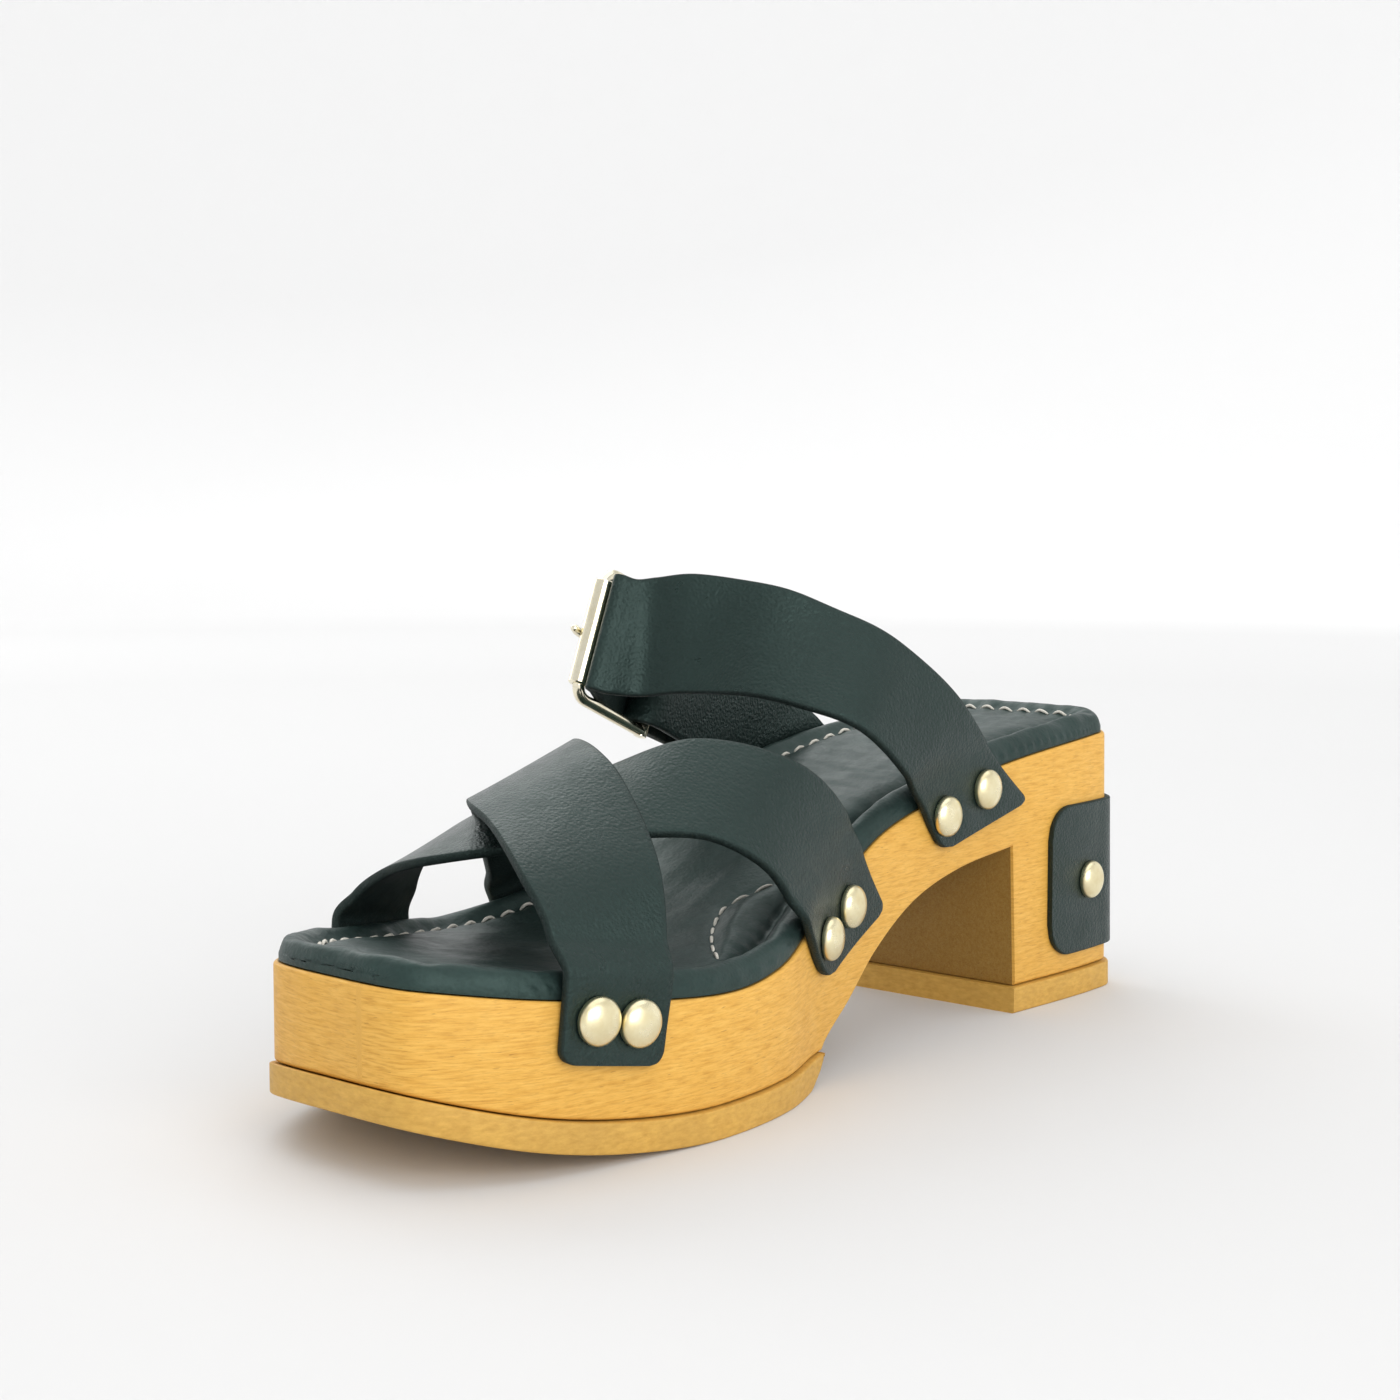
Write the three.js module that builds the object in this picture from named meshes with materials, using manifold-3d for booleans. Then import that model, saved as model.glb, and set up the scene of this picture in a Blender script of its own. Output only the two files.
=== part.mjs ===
// A right-foot wooden clog: a carved wooden platform and heel, a padded leather footbed, two crossed
// forefoot straps, and an instep strap that closes with a roller buckle. Millimetres, +Z up, toe towards
// -Y, the wearer's inner (medial) side towards +X. The origin is on the floor under the middle of the part.
import * as THREE from "three";
import { ParametricGeometry } from "three/addons/geometries/ParametricGeometry.js";
import { mergeVertices } from "three/addons/utils/BufferGeometryUtils.js";
import Module from "manifold-3d";

const wasm = await Module();
wasm.setup();

// ---- Driving dimensions ----
const GAP = 0.3; // clearance kept between pieces that touch
const LEATHER = 2.0; // strap thickness
const PATCH_LEATHER = 1.4; // heel patch thickness
const SOLE_THICK = 6.2; // forefoot outsole and heel lift
const SOLE_PROUD = 1.0; // how far the outsole stands out past the wood
const TOE_SPRING = 11.3; // lift of the sole at the very toe
const SPRING_FROM = -55; // y where the toe spring starts
const TOE_Y = -120;
const HEEL_BREAST_Y = 73.2; // front face of the heel block
const HEEL_BREAST_Z = 40.6;
const CUSHION_INSET = 1; // footbed edge, measured in from the wood's edge
const CUSHION_RISE = 5.2; // footbed rim above the wood
const COVER_THICK = 1.2; // footbed leather
const ARCH_CENTRE = [34, -17]; // arch pad: an ellipse, cut off by the footbed's edge
const ARCH_HALF = [22, 30];
const ARCH_THICK = 1.4;
const STUD_RADIUS = 4.7;
const STUD_DOME = 2.2;
const SHANK_RADIUS = 1.1;
const SHANK_LENGTH = 12;
const BAR_RADIUS = 1.3; // buckle wire
const FRAME_HALF_WIDTH = 15;
const ROLLER_X = 27; // roller axis, measured from the pivot bar
const ROLLER_RADIUS = 2.1;
const ROLLER_BORE = 1.37;
const ROLLER_LENGTH = 25;
const STRAP_HALF_WIDTH = 13.3;
const GRIP_RISE = 7; // height above the footbed rim over which a strap settles against the wall
const LOOP_BORE = 1.6; // inside radius of the leather loop round the pivot bar
const LOOP_THICK = 1.7;
const FOLD_LENGTH = 16; // the short strap's turned-back end, stitched behind the loop
const PRONG_SLOT_FROM = 5.2; // centres of the slot's round ends, measured from the pivot bar
const PRONG_SLOT_TO = 12;
const PRONG_SLOT_HALF = 2.2;
const PRONG_RADIUS = 1.15;
const PRONG_EYE_RADIUS = 2.6;
const PRONG_EYE_HALF = 1.2;
const PATCH_FRONT_Y = 86.5; // heel patch, seen from the side
const PATCH_LOW = 11.5;
const PATCH_HIGH = 48;
const PATCH_CORNER = 8;

// Bounds well clear of the sole, for prisms that are trimmed by another shape.
const BELOW = -5;
const ABOVE = 90;
const AHEAD_Y = -124;
const BEHIND_Y = 124;
const HALF_SPAN = 60;

// Plan outline of the wood, counter-clockwise from above, starting at the toe.
const OUTLINE = [
  [-23.7, -110.4], [-16.4, -116.8], [-7, -119.8], [4, -120.8], [15.2, -121.2], [22.9, -119.3], [29.5, -112.1],
  [36.2, -100.8], [41.4, -76.5], [43.9, -55], [41.2, -32.5], [32.3, -9], [28.6, 12], [27.4, 40],
  [27.6, 70], [28.2, 95], [27.8, 108], [26.6, 115.5], [21, 120.4], [10, 121.4], [-6, 121.4], [-17, 120.4],
  [-23.2, 116], [-26, 107], [-29.7, 85.6], [-32.6, 60], [-34, 30], [-38.2, 0], [-41.2, -30.4],
  [-42.3, -54], [-37.8, -80.1], [-31.2, -99.3],
];
// Height of the wood's top edge along the shoe, as [y, z].
const TOP_LINE = [
  [-124, 37.2], [-95, 32.7], [-70, 29.3], [-45, 28.2], [-20, 32.7], [0, 40.4], [20, 49.6],
  [40, 54.8], [60, 59.1], [85, 62.3], [124, 65.4],
];
// The arch under the waist, from the outsole's rear edge up to the heel breast, as [y, z].
const ARCH_LINE = [
  [-17, 0], [-10.7, 3.5], [-8.5, 6.7], [4, 14.2], [16, 23.6], [31.7, 32.7], [50, 37.8],
  [HEEL_BREAST_Y, HEEL_BREAST_Z],
];

// ---- Materials ----
const paint = (color, roughness, metalness) =>
  new THREE.MeshStandardMaterial({ color, roughness, metalness });
const WOOD = paint(0xe2b05a, 0.55, 0);
const SOLE = paint(0xc99a3c, 0.7, 0);
const HIDE = paint(0x303a3a, 0.6, 0);
const LINING = paint(0x232a2b, 0.7, 0);
const FOAM = paint(0xd8cfa8, 0.95, 0);
const STEEL = paint(0xe8e0c4, 0.25, 1);
const BRASS = paint(0xd9cf9c, 0.35, 1);

// ---- Solids ----
function solidOf(geometry) {
  geometry.deleteAttribute("normal");
  geometry.deleteAttribute("uv");
  const merged = mergeVertices(geometry, 1e-4);
  const index = merged.index.array;
  const triangles = [];
  for (let i = 0; i < index.length; i += 3) {
    const [a, b, c] = [index[i], index[i + 1], index[i + 2]];
    if (a !== b && b !== c && c !== a) triangles.push(a, b, c);
  }
  const mesh = new wasm.Mesh({
    numProp: 3,
    vertProperties: merged.attributes.position.array,
    triVerts: new Uint32Array(triangles),
  });
  return new wasm.Manifold(mesh);
}

function meshOf(name, solid, material) {
  const { numProp, numVert, vertProperties, triVerts } = solid.getMesh();
  const position = new Float32Array(numVert * 3);
  for (let i = 0; i < numVert; i++) {
    position.set(vertProperties.subarray(i * numProp, i * numProp + 3), i * 3);
  }
  const geometry = new THREE.BufferGeometry();
  geometry.setAttribute("position", new THREE.BufferAttribute(position, 3));
  geometry.setIndex(new THREE.BufferAttribute(triVerts, 1));
  geometry.computeVertexNormals();
  const mesh = new THREE.Mesh(geometry, material);
  mesh.name = name;
  return mesh;
}

const clamp = (value, low, high) => Math.min(high, Math.max(low, value));

// ---- Lines of the wooden sole ----
const plan = (points, z = 0) => points.map(([x, y]) => new THREE.Vector3(x, y, z));
const outlineCurve = new THREE.CatmullRomCurve3(plan(OUTLINE), true, "centripetal");
const outlineRing = outlineCurve.getPoints(80).slice(0, -1);
const topCurve = new THREE.CatmullRomCurve3(plan(TOP_LINE), false, "centripetal").getPoints(48);
const archCurve = new THREE.CatmullRomCurve3(plan(ARCH_LINE), false, "centripetal").getPoints(20);

// The outline moved outward by a distance, as a 2D ring. Where an inset folds over itself in a tight corner,
// the points that end up too near the outline are left out.
function offsetRing(distance) {
  const count = outlineRing.length;
  const moved = outlineRing.map((point, i) => {
    const ahead = outlineRing[(i + 1) % count];
    const behind = outlineRing[(i + count - 1) % count];
    const tangent = new THREE.Vector2(ahead.x - behind.x, ahead.y - behind.y).normalize();
    return new THREE.Vector2(point.x + tangent.y * distance, point.y - tangent.x * distance);
  });
  const apart = (p, q) => Math.hypot(p.x - q.x, p.y - q.y);
  const clear = (point) => outlineRing.every((p) => apart(p, point) > -distance - 0.1);
  return moved.filter(clear);
}

function heightOn(curve, y) {
  const i = clamp(curve.findIndex((point) => point.x >= y), 1, curve.length - 1);
  const [a, b] = [curve[i - 1], curve[i]];
  return a.y + ((b.y - a.y) * (y - a.x)) / (b.x - a.x);
}

const woodTop = (y) => heightOn(topCurve, y);
const spring = (y) => (y < SPRING_FROM ? TOE_SPRING * ((SPRING_FROM - y) / (SPRING_FROM - TOE_Y)) ** 2 : 0);

// Distance of the wood's side wall from the centre plane at y; side is +1 medial, -1 lateral.
function wall(y, side) {
  let reach = 0;
  const count = outlineRing.length;
  outlineRing.forEach((a, i) => {
    const b = outlineRing[(i + 1) % count];
    if ((a.y - y) * (b.y - y) > 0 || a.y === b.y) return;
    const x = a.x + ((b.x - a.x) * (y - a.y)) / (b.y - a.y);
    reach = Math.max(reach, side * x);
  });
  return reach;
}

// Outward direction of the wood's side wall at y, in the floor plane.
function wallNormal(y, side) {
  const slope = (wall(y + 3, side) - wall(y - 3, side)) / 6;
  return new THREE.Vector3(side, -slope, 0).normalize();
}

// ---- Prisms ----
// A plan outline carried straight up.
function planPrism(distance) {
  const shape = new THREE.Shape(offsetRing(distance));
  const geometry = new THREE.ExtrudeGeometry(shape, { depth: ABOVE - BELOW, bevelEnabled: false });
  geometry.translate(0, 0, BELOW);
  return solidOf(geometry);
}

// A side view outline of [y, z] points carried straight across the shoe.
function sidePrism(points) {
  const shape = new THREE.Shape(points.map(([y, z]) => new THREE.Vector2(y, z)));
  const geometry = new THREE.ExtrudeGeometry(shape, { depth: 2 * HALF_SPAN, bevelEnabled: false });
  geometry.translate(0, 0, -HALF_SPAN);
  const turn = new THREE.Matrix4().makeBasis(
    new THREE.Vector3(0, 1, 0),
    new THREE.Vector3(0, 0, 1),
    new THREE.Vector3(1, 0, 0),
  );
  geometry.applyMatrix4(turn);
  return solidOf(geometry);
}

// The slab between two heights above the wood's top line.
function topSlab(low, high) {
  const under = topCurve.filter((_, i) => i % 2 === 0).map((p) => [p.x, p.y + low]);
  const over = under.map(([y, z]) => [y, z + high - low]).reverse();
  return sidePrism([...under, ...over]);
}

// ---- Straps ----
// A leather band between two edges. Each station is [front edge point, rear edge point] on the outer face.
// Where the band lies against the sole (side not 0) its outer face follows the wood's wall.
function band(stations, thickness, hold = () => 0, along = 36, across = 4) {
  const edgeLine = (k) => {
    const points = stations.map((station) => new THREE.Vector3(...station[k]));
    return new THREE.CatmullRomCurve3(points, false, "centripetal");
  };
  const [front, rear] = [edgeLine(0), edgeLine(1)];
  const face = (s, w) => {
    const point = new THREE.Vector3().lerpVectors(front.getPoint(s), rear.getPoint(s), w);
    const side = hold(s);
    if (side === 0) return point;
    const rise = point.z - woodTop(point.y) - CUSHION_RISE;
    const grip = 1 - THREE.MathUtils.smoothstep(rise, 0, GRIP_RISE);
    point.x += grip * (side * (wall(point.y, side) + GAP + thickness) - point.x);
    return point;
  };
  const normal = (s, w) => {
    const ds = face(Math.min(s + 0.004, 1), w).sub(face(Math.max(s - 0.004, 0), w));
    const dw = face(s, Math.min(w + 0.02, 1)).sub(face(s, Math.max(w - 0.02, 0)));
    return ds.cross(dw).normalize();
  };
  const middle = face(0.5, 0.5);
  const fromFoot = middle.clone().sub(new THREE.Vector3(0, middle.y + 20, 30));
  const inward = normal(0.5, 0.5).dot(fromFoot) > 0 ? -1 : 1;
  const round = 2 * across + 2;
  const ends = along + 2;
  const skin = (u, v, target) => {
    const i = Math.round(u * ends);
    const j = Math.round((inward > 0 ? 1 - v : v) * round) % round;
    const s = clamp((i - 1) / along, 0, 1);
    const cap = i === 0 || i === ends;
    const outer = j <= across;
    const w = (outer ? j : round - 1 - j) / across;
    const depth = outer ? 0 : thickness;
    const [share, sink] = cap ? [0.5, thickness / 2] : [w, depth];
    target.copy(face(s, share)).addScaledVector(normal(s, share), sink * inward);
  };
  return solidOf(new ParametricGeometry(skin, ends, round));
}

// The medial end holds the wall near s = 0, the lateral end near s = 1.
const bothEnds = (s) => (s < 0.4 ? 1 : s > 0.6 ? -1 : 0);
const medialEnd = (s) => (s < 0.4 ? 1 : 0);
const lateralEnd = (s) => (s > 0.5 ? -1 : 0);

const UPPER_CROSS_STRAP = [
  [[38, -96.5, 21.5], [43, -74, 17.8]],
  [[38, -95.4, 32.4], [43, -72, 29.8]],
  [[35, -94.4, 46], [42, -70.3, 40.8]],
  [[26, -92.7, 55.4], [36, -65.8, 54.3]],
  [[10, -85.1, 62.4], [18, -57, 69]],
  [[-2, -79, 64.2], [8, -53, 73.2]],
  [[-14, -68, 62.5], [-8, -43, 73.4]],
  [[-24, -57, 57.5], [-20, -31, 68]],
  [[-34, -45, 48], [-32, -18, 57.5]],
  [[-41, -36, 39], [-39.5, -9, 46]],
  [[-43.6, -32, 31], [-41.4, -5, 35]],
  [[-43.6, -29, 17], [-41.2, -3, 22]],
];
const LOWER_CROSS_STRAP = [
  [[33, -9, 22.5], [29.3, 16.4, 33.4]],
  [[38.4, -22, 36], [30, 8.1, 44.5]],
  [[36.5, -31.6, 49.5], [31, 0, 58]],
  [[30, -42, 56.5], [28, -13.4, 68.9]],
  [[22, -54, 58], [14, -30, 74]],
  [[8, -74, 56.3], [0, -44.3, 67.6]],
  [[-4, -84, 54.3], [-11, -57, 62.5]],
  [[-14, -85.5, 52], [-23, -61.5, 56.3]],
  [[-25, -82.8, 48.3], [-35, -61, 48.8]],
  [[-33, -82, 43.6], [-40, -59.8, 43.2]],
  [[-37.4, -82.6, 38], [-42.2, -59.3, 37]],
  [[-38.4, -83.3, 30], [-43.4, -59, 30]],
  [[-38.4, -83.6, 19.5], [-43.4, -59.5, 18.5]],
];

// ---- Buckle frame of reference: origin on the pivot bar, +X to the roller, +Y up the bar, +Z outward ----
const BUCKLE_AT = new THREE.Vector3(-35.1, 14.1, 82.6);
const toRoller = new THREE.Vector3(0.083, -0.918, 0.389).normalize();
const outward = new THREE.Vector3().crossVectors(toRoller, new THREE.Vector3(-0.026, 0.39, 0.92)).normalize();
const alongBar = new THREE.Vector3().crossVectors(outward, toRoller);
const buckleMatrix = new THREE.Matrix4().makeBasis(toRoller, alongBar, outward).setPosition(BUCKLE_AT);
const inBuckle = (x, y, z) => new THREE.Vector3(x, y, z).applyMatrix4(buckleMatrix).toArray();
const buckleStation = ([x, z]) => [inBuckle(x, -STRAP_HALF_WIDTH, z), inBuckle(x, STRAP_HALF_WIDTH, z)];

const INSTEP_STRAP = [
  [[30, 41, 43.5], [30, 75, 51.5]],
  [[30, 31, 56], [30, 63, 61]],
  [[31, 24, 63], [29.5, 44, 79.5]],
  [[28.5, 11.7, 73.7], [24, 31, 91]],
  [[19, 3.2, 79], [15.5, 20.5, 98.4]],
  [[4.4, -1.4, 81.2], [3.2, 11.1, 103.8]],
  [[-12, -4.3, 80.7], [-13, 2.3, 106.3]],
  [[-21, -7.4, 79.6], [-22, -1.2, 105.3]],
];
// The strap folds round the inside of the roller, crosses the frame and ends over the short strap.
const STRAP_IN_BUCKLE = [
  [26.2, -8.2], [28.7, -6.3], [29.4, -4.5], [28.2, -3.1], [26, -2.6], [23.6, -1.5], [19.5, 0.4], [12, 3.2],
  [4, 5.6], [-3, 5.7], [-12, 4.3], [-26, 2], [-42, 0.6],
];
const BUCKLE_STRAP = [
  [inBuckle(-1.5, -STRAP_HALF_WIDTH, -LOOP_BORE), inBuckle(-1.5, STRAP_HALF_WIDTH, -LOOP_BORE)],
  [inBuckle(-14, -STRAP_HALF_WIDTH, -LOOP_BORE), inBuckle(-14, STRAP_HALF_WIDTH, -LOOP_BORE)],
  [[-35, 38, 58], [-35.4, 48, 82]],
  [[-35.5, 45, 51.5], [-35.2, 64, 72.5]],
  [[-35.5, 50, 47], [-35, 77, 62]],
  [[-35.5, 54, 44.5], [-35, 85, 53]],
];

// ---- Dome studs: [name, y, z, side] ----
const STUDS = [
  ["upper_strap_stud_medial_front", -88.5, 28.7, 1],
  ["upper_strap_stud_medial_rear", -79, 26.9, 1],
  ["upper_strap_stud_lateral_front", -22.5, 24.5, -1],
  ["upper_strap_stud_lateral_rear", -11.5, 26.5, -1],
  ["lower_strap_stud_medial_front", -10.4, 31.4, 1],
  ["lower_strap_stud_medial_rear", 0.6, 36.5, 1],
  ["lower_strap_stud_lateral_front", -77.2, 24.5, -1],
  ["lower_strap_stud_lateral_rear", -66.2, 23.5, -1],
  ["instep_strap_stud_medial_front", 40.8, 51.5, 1],
  ["instep_strap_stud_medial_rear", 57.1, 56.1, 1],
  ["buckle_strap_stud_lateral_front", 57, 51, -1],
  ["buckle_strap_stud_lateral_rear", 73, 56, -1],
  ["heel_patch_stud_medial", 104.3, 28.8, 1],
  ["heel_patch_stud_lateral", 104.3, 28.8, -1],
];

// Matrix that puts the local +Y axis along the wall's outward normal, clear of the leather's outer face.
function studMatrix(name, y, z, side) {
  const leather = name.startsWith("heel_patch") ? PATCH_LEATHER : LEATHER;
  const normal = wallNormal(y, side);
  const reach = wall(y, side);
  const position = new THREE.Vector3(side * reach, y, z).addScaledVector(normal, 2 * GAP + leather);
  const turn = new THREE.Quaternion().setFromUnitVectors(new THREE.Vector3(0, 1, 0), normal);
  return new THREE.Matrix4().compose(position, turn, new THREE.Vector3(1, 1, 1));
}

function studSolid(name, y, z, side) {
  const dome = [];
  for (let i = 0; i <= 4; i++) {
    const angle = (i / 4) * (Math.PI / 2);
    dome.push(new THREE.Vector2(STUD_RADIUS * Math.cos(angle), 0.4 + STUD_DOME * Math.sin(angle)));
  }
  dome[4].x = 0;
  const profile = [
    new THREE.Vector2(0, -SHANK_LENGTH - 2),
    new THREE.Vector2(SHANK_RADIUS, -SHANK_LENGTH),
    new THREE.Vector2(SHANK_RADIUS, 0),
    new THREE.Vector2(STUD_RADIUS, 0),
    ...dome,
  ];
  const geometry = new THREE.LatheGeometry(profile, 14);
  geometry.applyMatrix4(studMatrix(name, y, z, side));
  return solidOf(geometry);
}

function studHole(name, y, z, side) {
  const radius = SHANK_RADIUS + GAP;
  const depth = SHANK_LENGTH + 3;
  const geometry = new THREE.CylinderGeometry(radius, radius, 2 * depth, 8);
  geometry.applyMatrix4(studMatrix(name, y, z, side));
  return solidOf(geometry);
}

const studHoles = STUDS.map((stud) => studHole(...stud));
const pierced = (solid) => studHoles.reduce((left, hole) => left.subtract(hole), solid);

// ---- Root pieces ----
// The floor side of the toe spring as [y, z], from the toe back to where the sole lies flat.
function springLine(fromY) {
  const steps = 12;
  const line = [];
  for (let i = 0; i <= steps; i++) {
    const y = fromY + ((SPRING_FROM - fromY) * i) / steps;
    line.push([y, spring(y)]);
  }
  return line;
}

function woodenSole() {
  const upper = topCurve.map((p) => [p.x, p.y]);
  const arch = archCurve.filter((p) => p.y > SOLE_THICK + GAP).map((p) => [p.x, p.y]);
  const low = SOLE_THICK + GAP;
  const rearFoot = [[BEHIND_Y, low], [HEEL_BREAST_Y, low]];
  const toe = springLine(AHEAD_Y).map(([y, z]) => [y, z + low]).reverse();
  const profile = [...upper, ...rearFoot, ...arch.reverse(), ...toe];
  return pierced(planPrism(0).intersect(sidePrism(profile)));
}

function forefootOutsole() {
  const bottom = springLine(AHEAD_Y - SOLE_PROUD);
  const rear = archCurve.filter((p) => p.y < SOLE_THICK - 0.2).map((p) => [p.x, p.y]);
  const top = bottom.map(([y, z]) => [y, z + SOLE_THICK]).reverse();
  const last = [-8.9, SOLE_THICK];
  return planPrism(SOLE_PROUD).intersect(sidePrism([...bottom, ...rear, last, ...top]));
}

function heelLift() {
  const front = HEEL_BREAST_Y - SOLE_PROUD;
  const back = BEHIND_Y + SOLE_PROUD;
  const block = [[front, 0], [back, 0], [back, SOLE_THICK], [front, SOLE_THICK]];
  return planPrism(SOLE_PROUD).intersect(sidePrism(block));
}

function heelPatch() {
  const ring = planPrism(GAP + PATCH_LEATHER).subtract(planPrism(GAP));
  const shape = new THREE.Shape();
  const bend = PATCH_FRONT_Y + PATCH_CORNER;
  shape.moveTo(BEHIND_Y, PATCH_LOW);
  shape.lineTo(BEHIND_Y, PATCH_HIGH);
  shape.lineTo(bend, PATCH_HIGH);
  shape.absarc(bend, PATCH_HIGH - PATCH_CORNER, PATCH_CORNER, Math.PI / 2, Math.PI, false);
  shape.absarc(bend, PATCH_LOW + PATCH_CORNER, PATCH_CORNER, Math.PI, 1.5 * Math.PI, false);
  return pierced(ring.intersect(sidePrism(shape.getPoints(5).map((p) => [p.x, p.y]))));
}

// The padded footbed: a leather cover like a shallow lid, a foam pad in it, and a raised arch pad.
function archPrism(grow) {
  const shape = new THREE.Shape();
  shape.absellipse(...ARCH_CENTRE, ARCH_HALF[0] + grow, ARCH_HALF[1] + grow, 0, 2 * Math.PI);
  return solidOf(new THREE.ExtrudeGeometry(shape, { depth: ABOVE, bevelEnabled: false, curveSegments: 20 }));
}

const foamInset = CUSHION_INSET + COVER_THICK + GAP;
const foamTop = CUSHION_RISE - COVER_THICK - GAP;

function footbedCover() {
  const lid = planPrism(-CUSHION_INSET).intersect(topSlab(GAP, CUSHION_RISE));
  const inside = planPrism(-CUSHION_INSET - COVER_THICK);
  return lid.subtract(inside.intersect(topSlab(-1, CUSHION_RISE - COVER_THICK)));
}

function archPad() {
  const layer = planPrism(-foamInset).intersect(topSlab(foamTop - ARCH_THICK, foamTop));
  return layer.intersect(archPrism(0));
}

function footbedFoam() {
  const pad = planPrism(-foamInset).intersect(topSlab(GAP, foamTop));
  return pad.subtract(archPrism(GAP).intersect(topSlab(foamTop - ARCH_THICK - GAP, foamTop + 1)));
}

// Closed outline, as [radius, height], of a tube centred on its axis.
function tubeProfile(inner, outer, half) {
  const corners = [[inner, -half], [outer, -half], [outer, half], [inner, half], [inner, -half]];
  return corners.map(([r, y]) => new THREE.Vector2(r, y));
}

// A slot for the prong: two half-rounds joined, carried along the bar's local Z.
function prongHole() {
  const shape = new THREE.Shape();
  shape.absarc(PRONG_SLOT_TO, 0, PRONG_SLOT_HALF, -Math.PI / 2, Math.PI / 2, false);
  shape.absarc(PRONG_SLOT_FROM, 0, PRONG_SLOT_HALF, Math.PI / 2, 1.5 * Math.PI, false);
  const geometry = new THREE.ExtrudeGeometry(shape, { depth: 16, bevelEnabled: false, curveSegments: 6 });
  geometry.translate(0, 0, -4);
  geometry.applyMatrix4(buckleMatrix);
  return solidOf(geometry);
}

function instepStrap() {
  const stations = [...INSTEP_STRAP, ...STRAP_IN_BUCKLE.map(buckleStation)];
  return pierced(band(stations, LEATHER, medialEnd, 72).subtract(prongHole()));
}

// The short strap: its end is folded round the pivot bar as a loop, with a slot for the prong's eye.
function buckleStrap() {
  const ring = tubeProfile(LOOP_BORE, LOOP_BORE + LOOP_THICK, STRAP_HALF_WIDTH);
  const loop = new THREE.LatheGeometry(ring, 24);
  const foldThick = LOOP_THICK + GAP;
  const fold = new THREE.BoxGeometry(FOLD_LENGTH, 2 * STRAP_HALF_WIDTH - 0.4, foldThick);
  fold.translate(-FOLD_LENGTH / 2 - 2.2, 0, foldThick / 2 - LOOP_BORE - 0.2);
  const slot = new THREE.BoxGeometry(8, 2 * PRONG_SLOT_HALF, 12);
  slot.translate(1.2, 0, 0);
  [loop, fold, slot].forEach((geometry) => geometry.applyMatrix4(buckleMatrix));
  const bore = new THREE.CylinderGeometry(LOOP_BORE, LOOP_BORE, 40, 24);
  bore.applyMatrix4(buckleMatrix);
  const strap = band(BUCKLE_STRAP, LEATHER - GAP, lateralEnd, 30);
  const joined = strap.add(solidOf(loop)).add(solidOf(fold));
  return pierced(joined.subtract(solidOf(bore)).subtract(solidOf(slot)));
}

// ---- Buckle, in its own frame ----
function barSection(radius, sides) {
  const shape = new THREE.Shape();
  for (let i = 0; i < sides; i++) {
    const angle = (2 * Math.PI * (i + 0.5)) / sides;
    const [x, y] = [radius * Math.cos(angle), radius * Math.sin(angle)];
    if (i === 0) shape.moveTo(x, y);
    else shape.lineTo(x, y);
  }
  return shape;
}

function wire(path, radius, sides, steps) {
  return solidOf(new THREE.ExtrudeGeometry(barSection(radius, sides), { steps, extrudePath: path }));
}

function buckleFrame() {
  const [half, corner] = [FRAME_HALF_WIDTH, 3];
  const at = (x, y) => new THREE.Vector3(x, y, 0);
  const path = new THREE.CurvePath();
  const bend = (...points) => new THREE.QuadraticBezierCurve3(...points);
  path.add(new THREE.LineCurve3(at(0, -half), at(ROLLER_X - corner, -half)));
  path.add(bend(at(ROLLER_X - corner, -half), at(ROLLER_X, -half), at(ROLLER_X, -half + corner)));
  path.add(new THREE.LineCurve3(at(ROLLER_X, -half + corner), at(ROLLER_X, half - corner)));
  path.add(bend(at(ROLLER_X, half - corner), at(ROLLER_X, half), at(ROLLER_X - corner, half)));
  path.add(new THREE.LineCurve3(at(ROLLER_X - corner, half), at(0, half)));
  const knob = (y) => solidOf(new THREE.SphereGeometry(BAR_RADIUS + 0.1, 10, 6).translate(0, y, 0));
  const bar = new THREE.CylinderGeometry(BAR_RADIUS, BAR_RADIUS, 2 * half, 16);
  return wire(path, BAR_RADIUS, 10, 40).add(solidOf(bar)).add(knob(-half)).add(knob(half));
}

function buckleRoller() {
  const half = ROLLER_LENGTH / 2;
  const geometry = new THREE.LatheGeometry(tubeProfile(ROLLER_BORE, ROLLER_RADIUS, half), 24);
  geometry.translate(ROLLER_X, 0, 0);
  return solidOf(geometry);
}

function buckleProng() {
  const profile = tubeProfile(ROLLER_BORE, PRONG_EYE_RADIUS, PRONG_EYE_HALF);
  const eye = solidOf(new THREE.LatheGeometry(profile, 20));
  const tongue = new THREE.CatmullRomCurve3([
    new THREE.Vector3(2.2, 0, 0.3),
    new THREE.Vector3(9, 0, 2.6),
    new THREE.Vector3(19, 0, 3.9),
    new THREE.Vector3(27, 0, 3.7),
    new THREE.Vector3(30.3, 0, 2.9),
  ]);
  return eye.add(wire(tongue, PRONG_RADIUS, 8, 18));
}

// ---- Assembly ----
const clog = new THREE.Group();
clog.add(
  meshOf("wooden_sole", woodenSole(), WOOD),
  meshOf("forefoot_outsole", forefootOutsole(), SOLE),
  meshOf("heel_lift", heelLift(), SOLE),
  meshOf("heel_patch", heelPatch(), HIDE),
  meshOf("footbed_cover", footbedCover(), LINING),
  meshOf("footbed_foam", footbedFoam(), FOAM),
  meshOf("arch_pad", archPad(), FOAM),
  meshOf("upper_cross_strap", pierced(band(UPPER_CROSS_STRAP, LEATHER, bothEnds)), HIDE),
  meshOf("lower_cross_strap", pierced(band(LOWER_CROSS_STRAP, LEATHER, bothEnds)), HIDE),
  meshOf("instep_strap", instepStrap(), HIDE),
  meshOf("buckle_strap", buckleStrap(), HIDE),
);
for (const stud of STUDS) clog.add(meshOf(stud[0], studSolid(...stud), BRASS));

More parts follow.
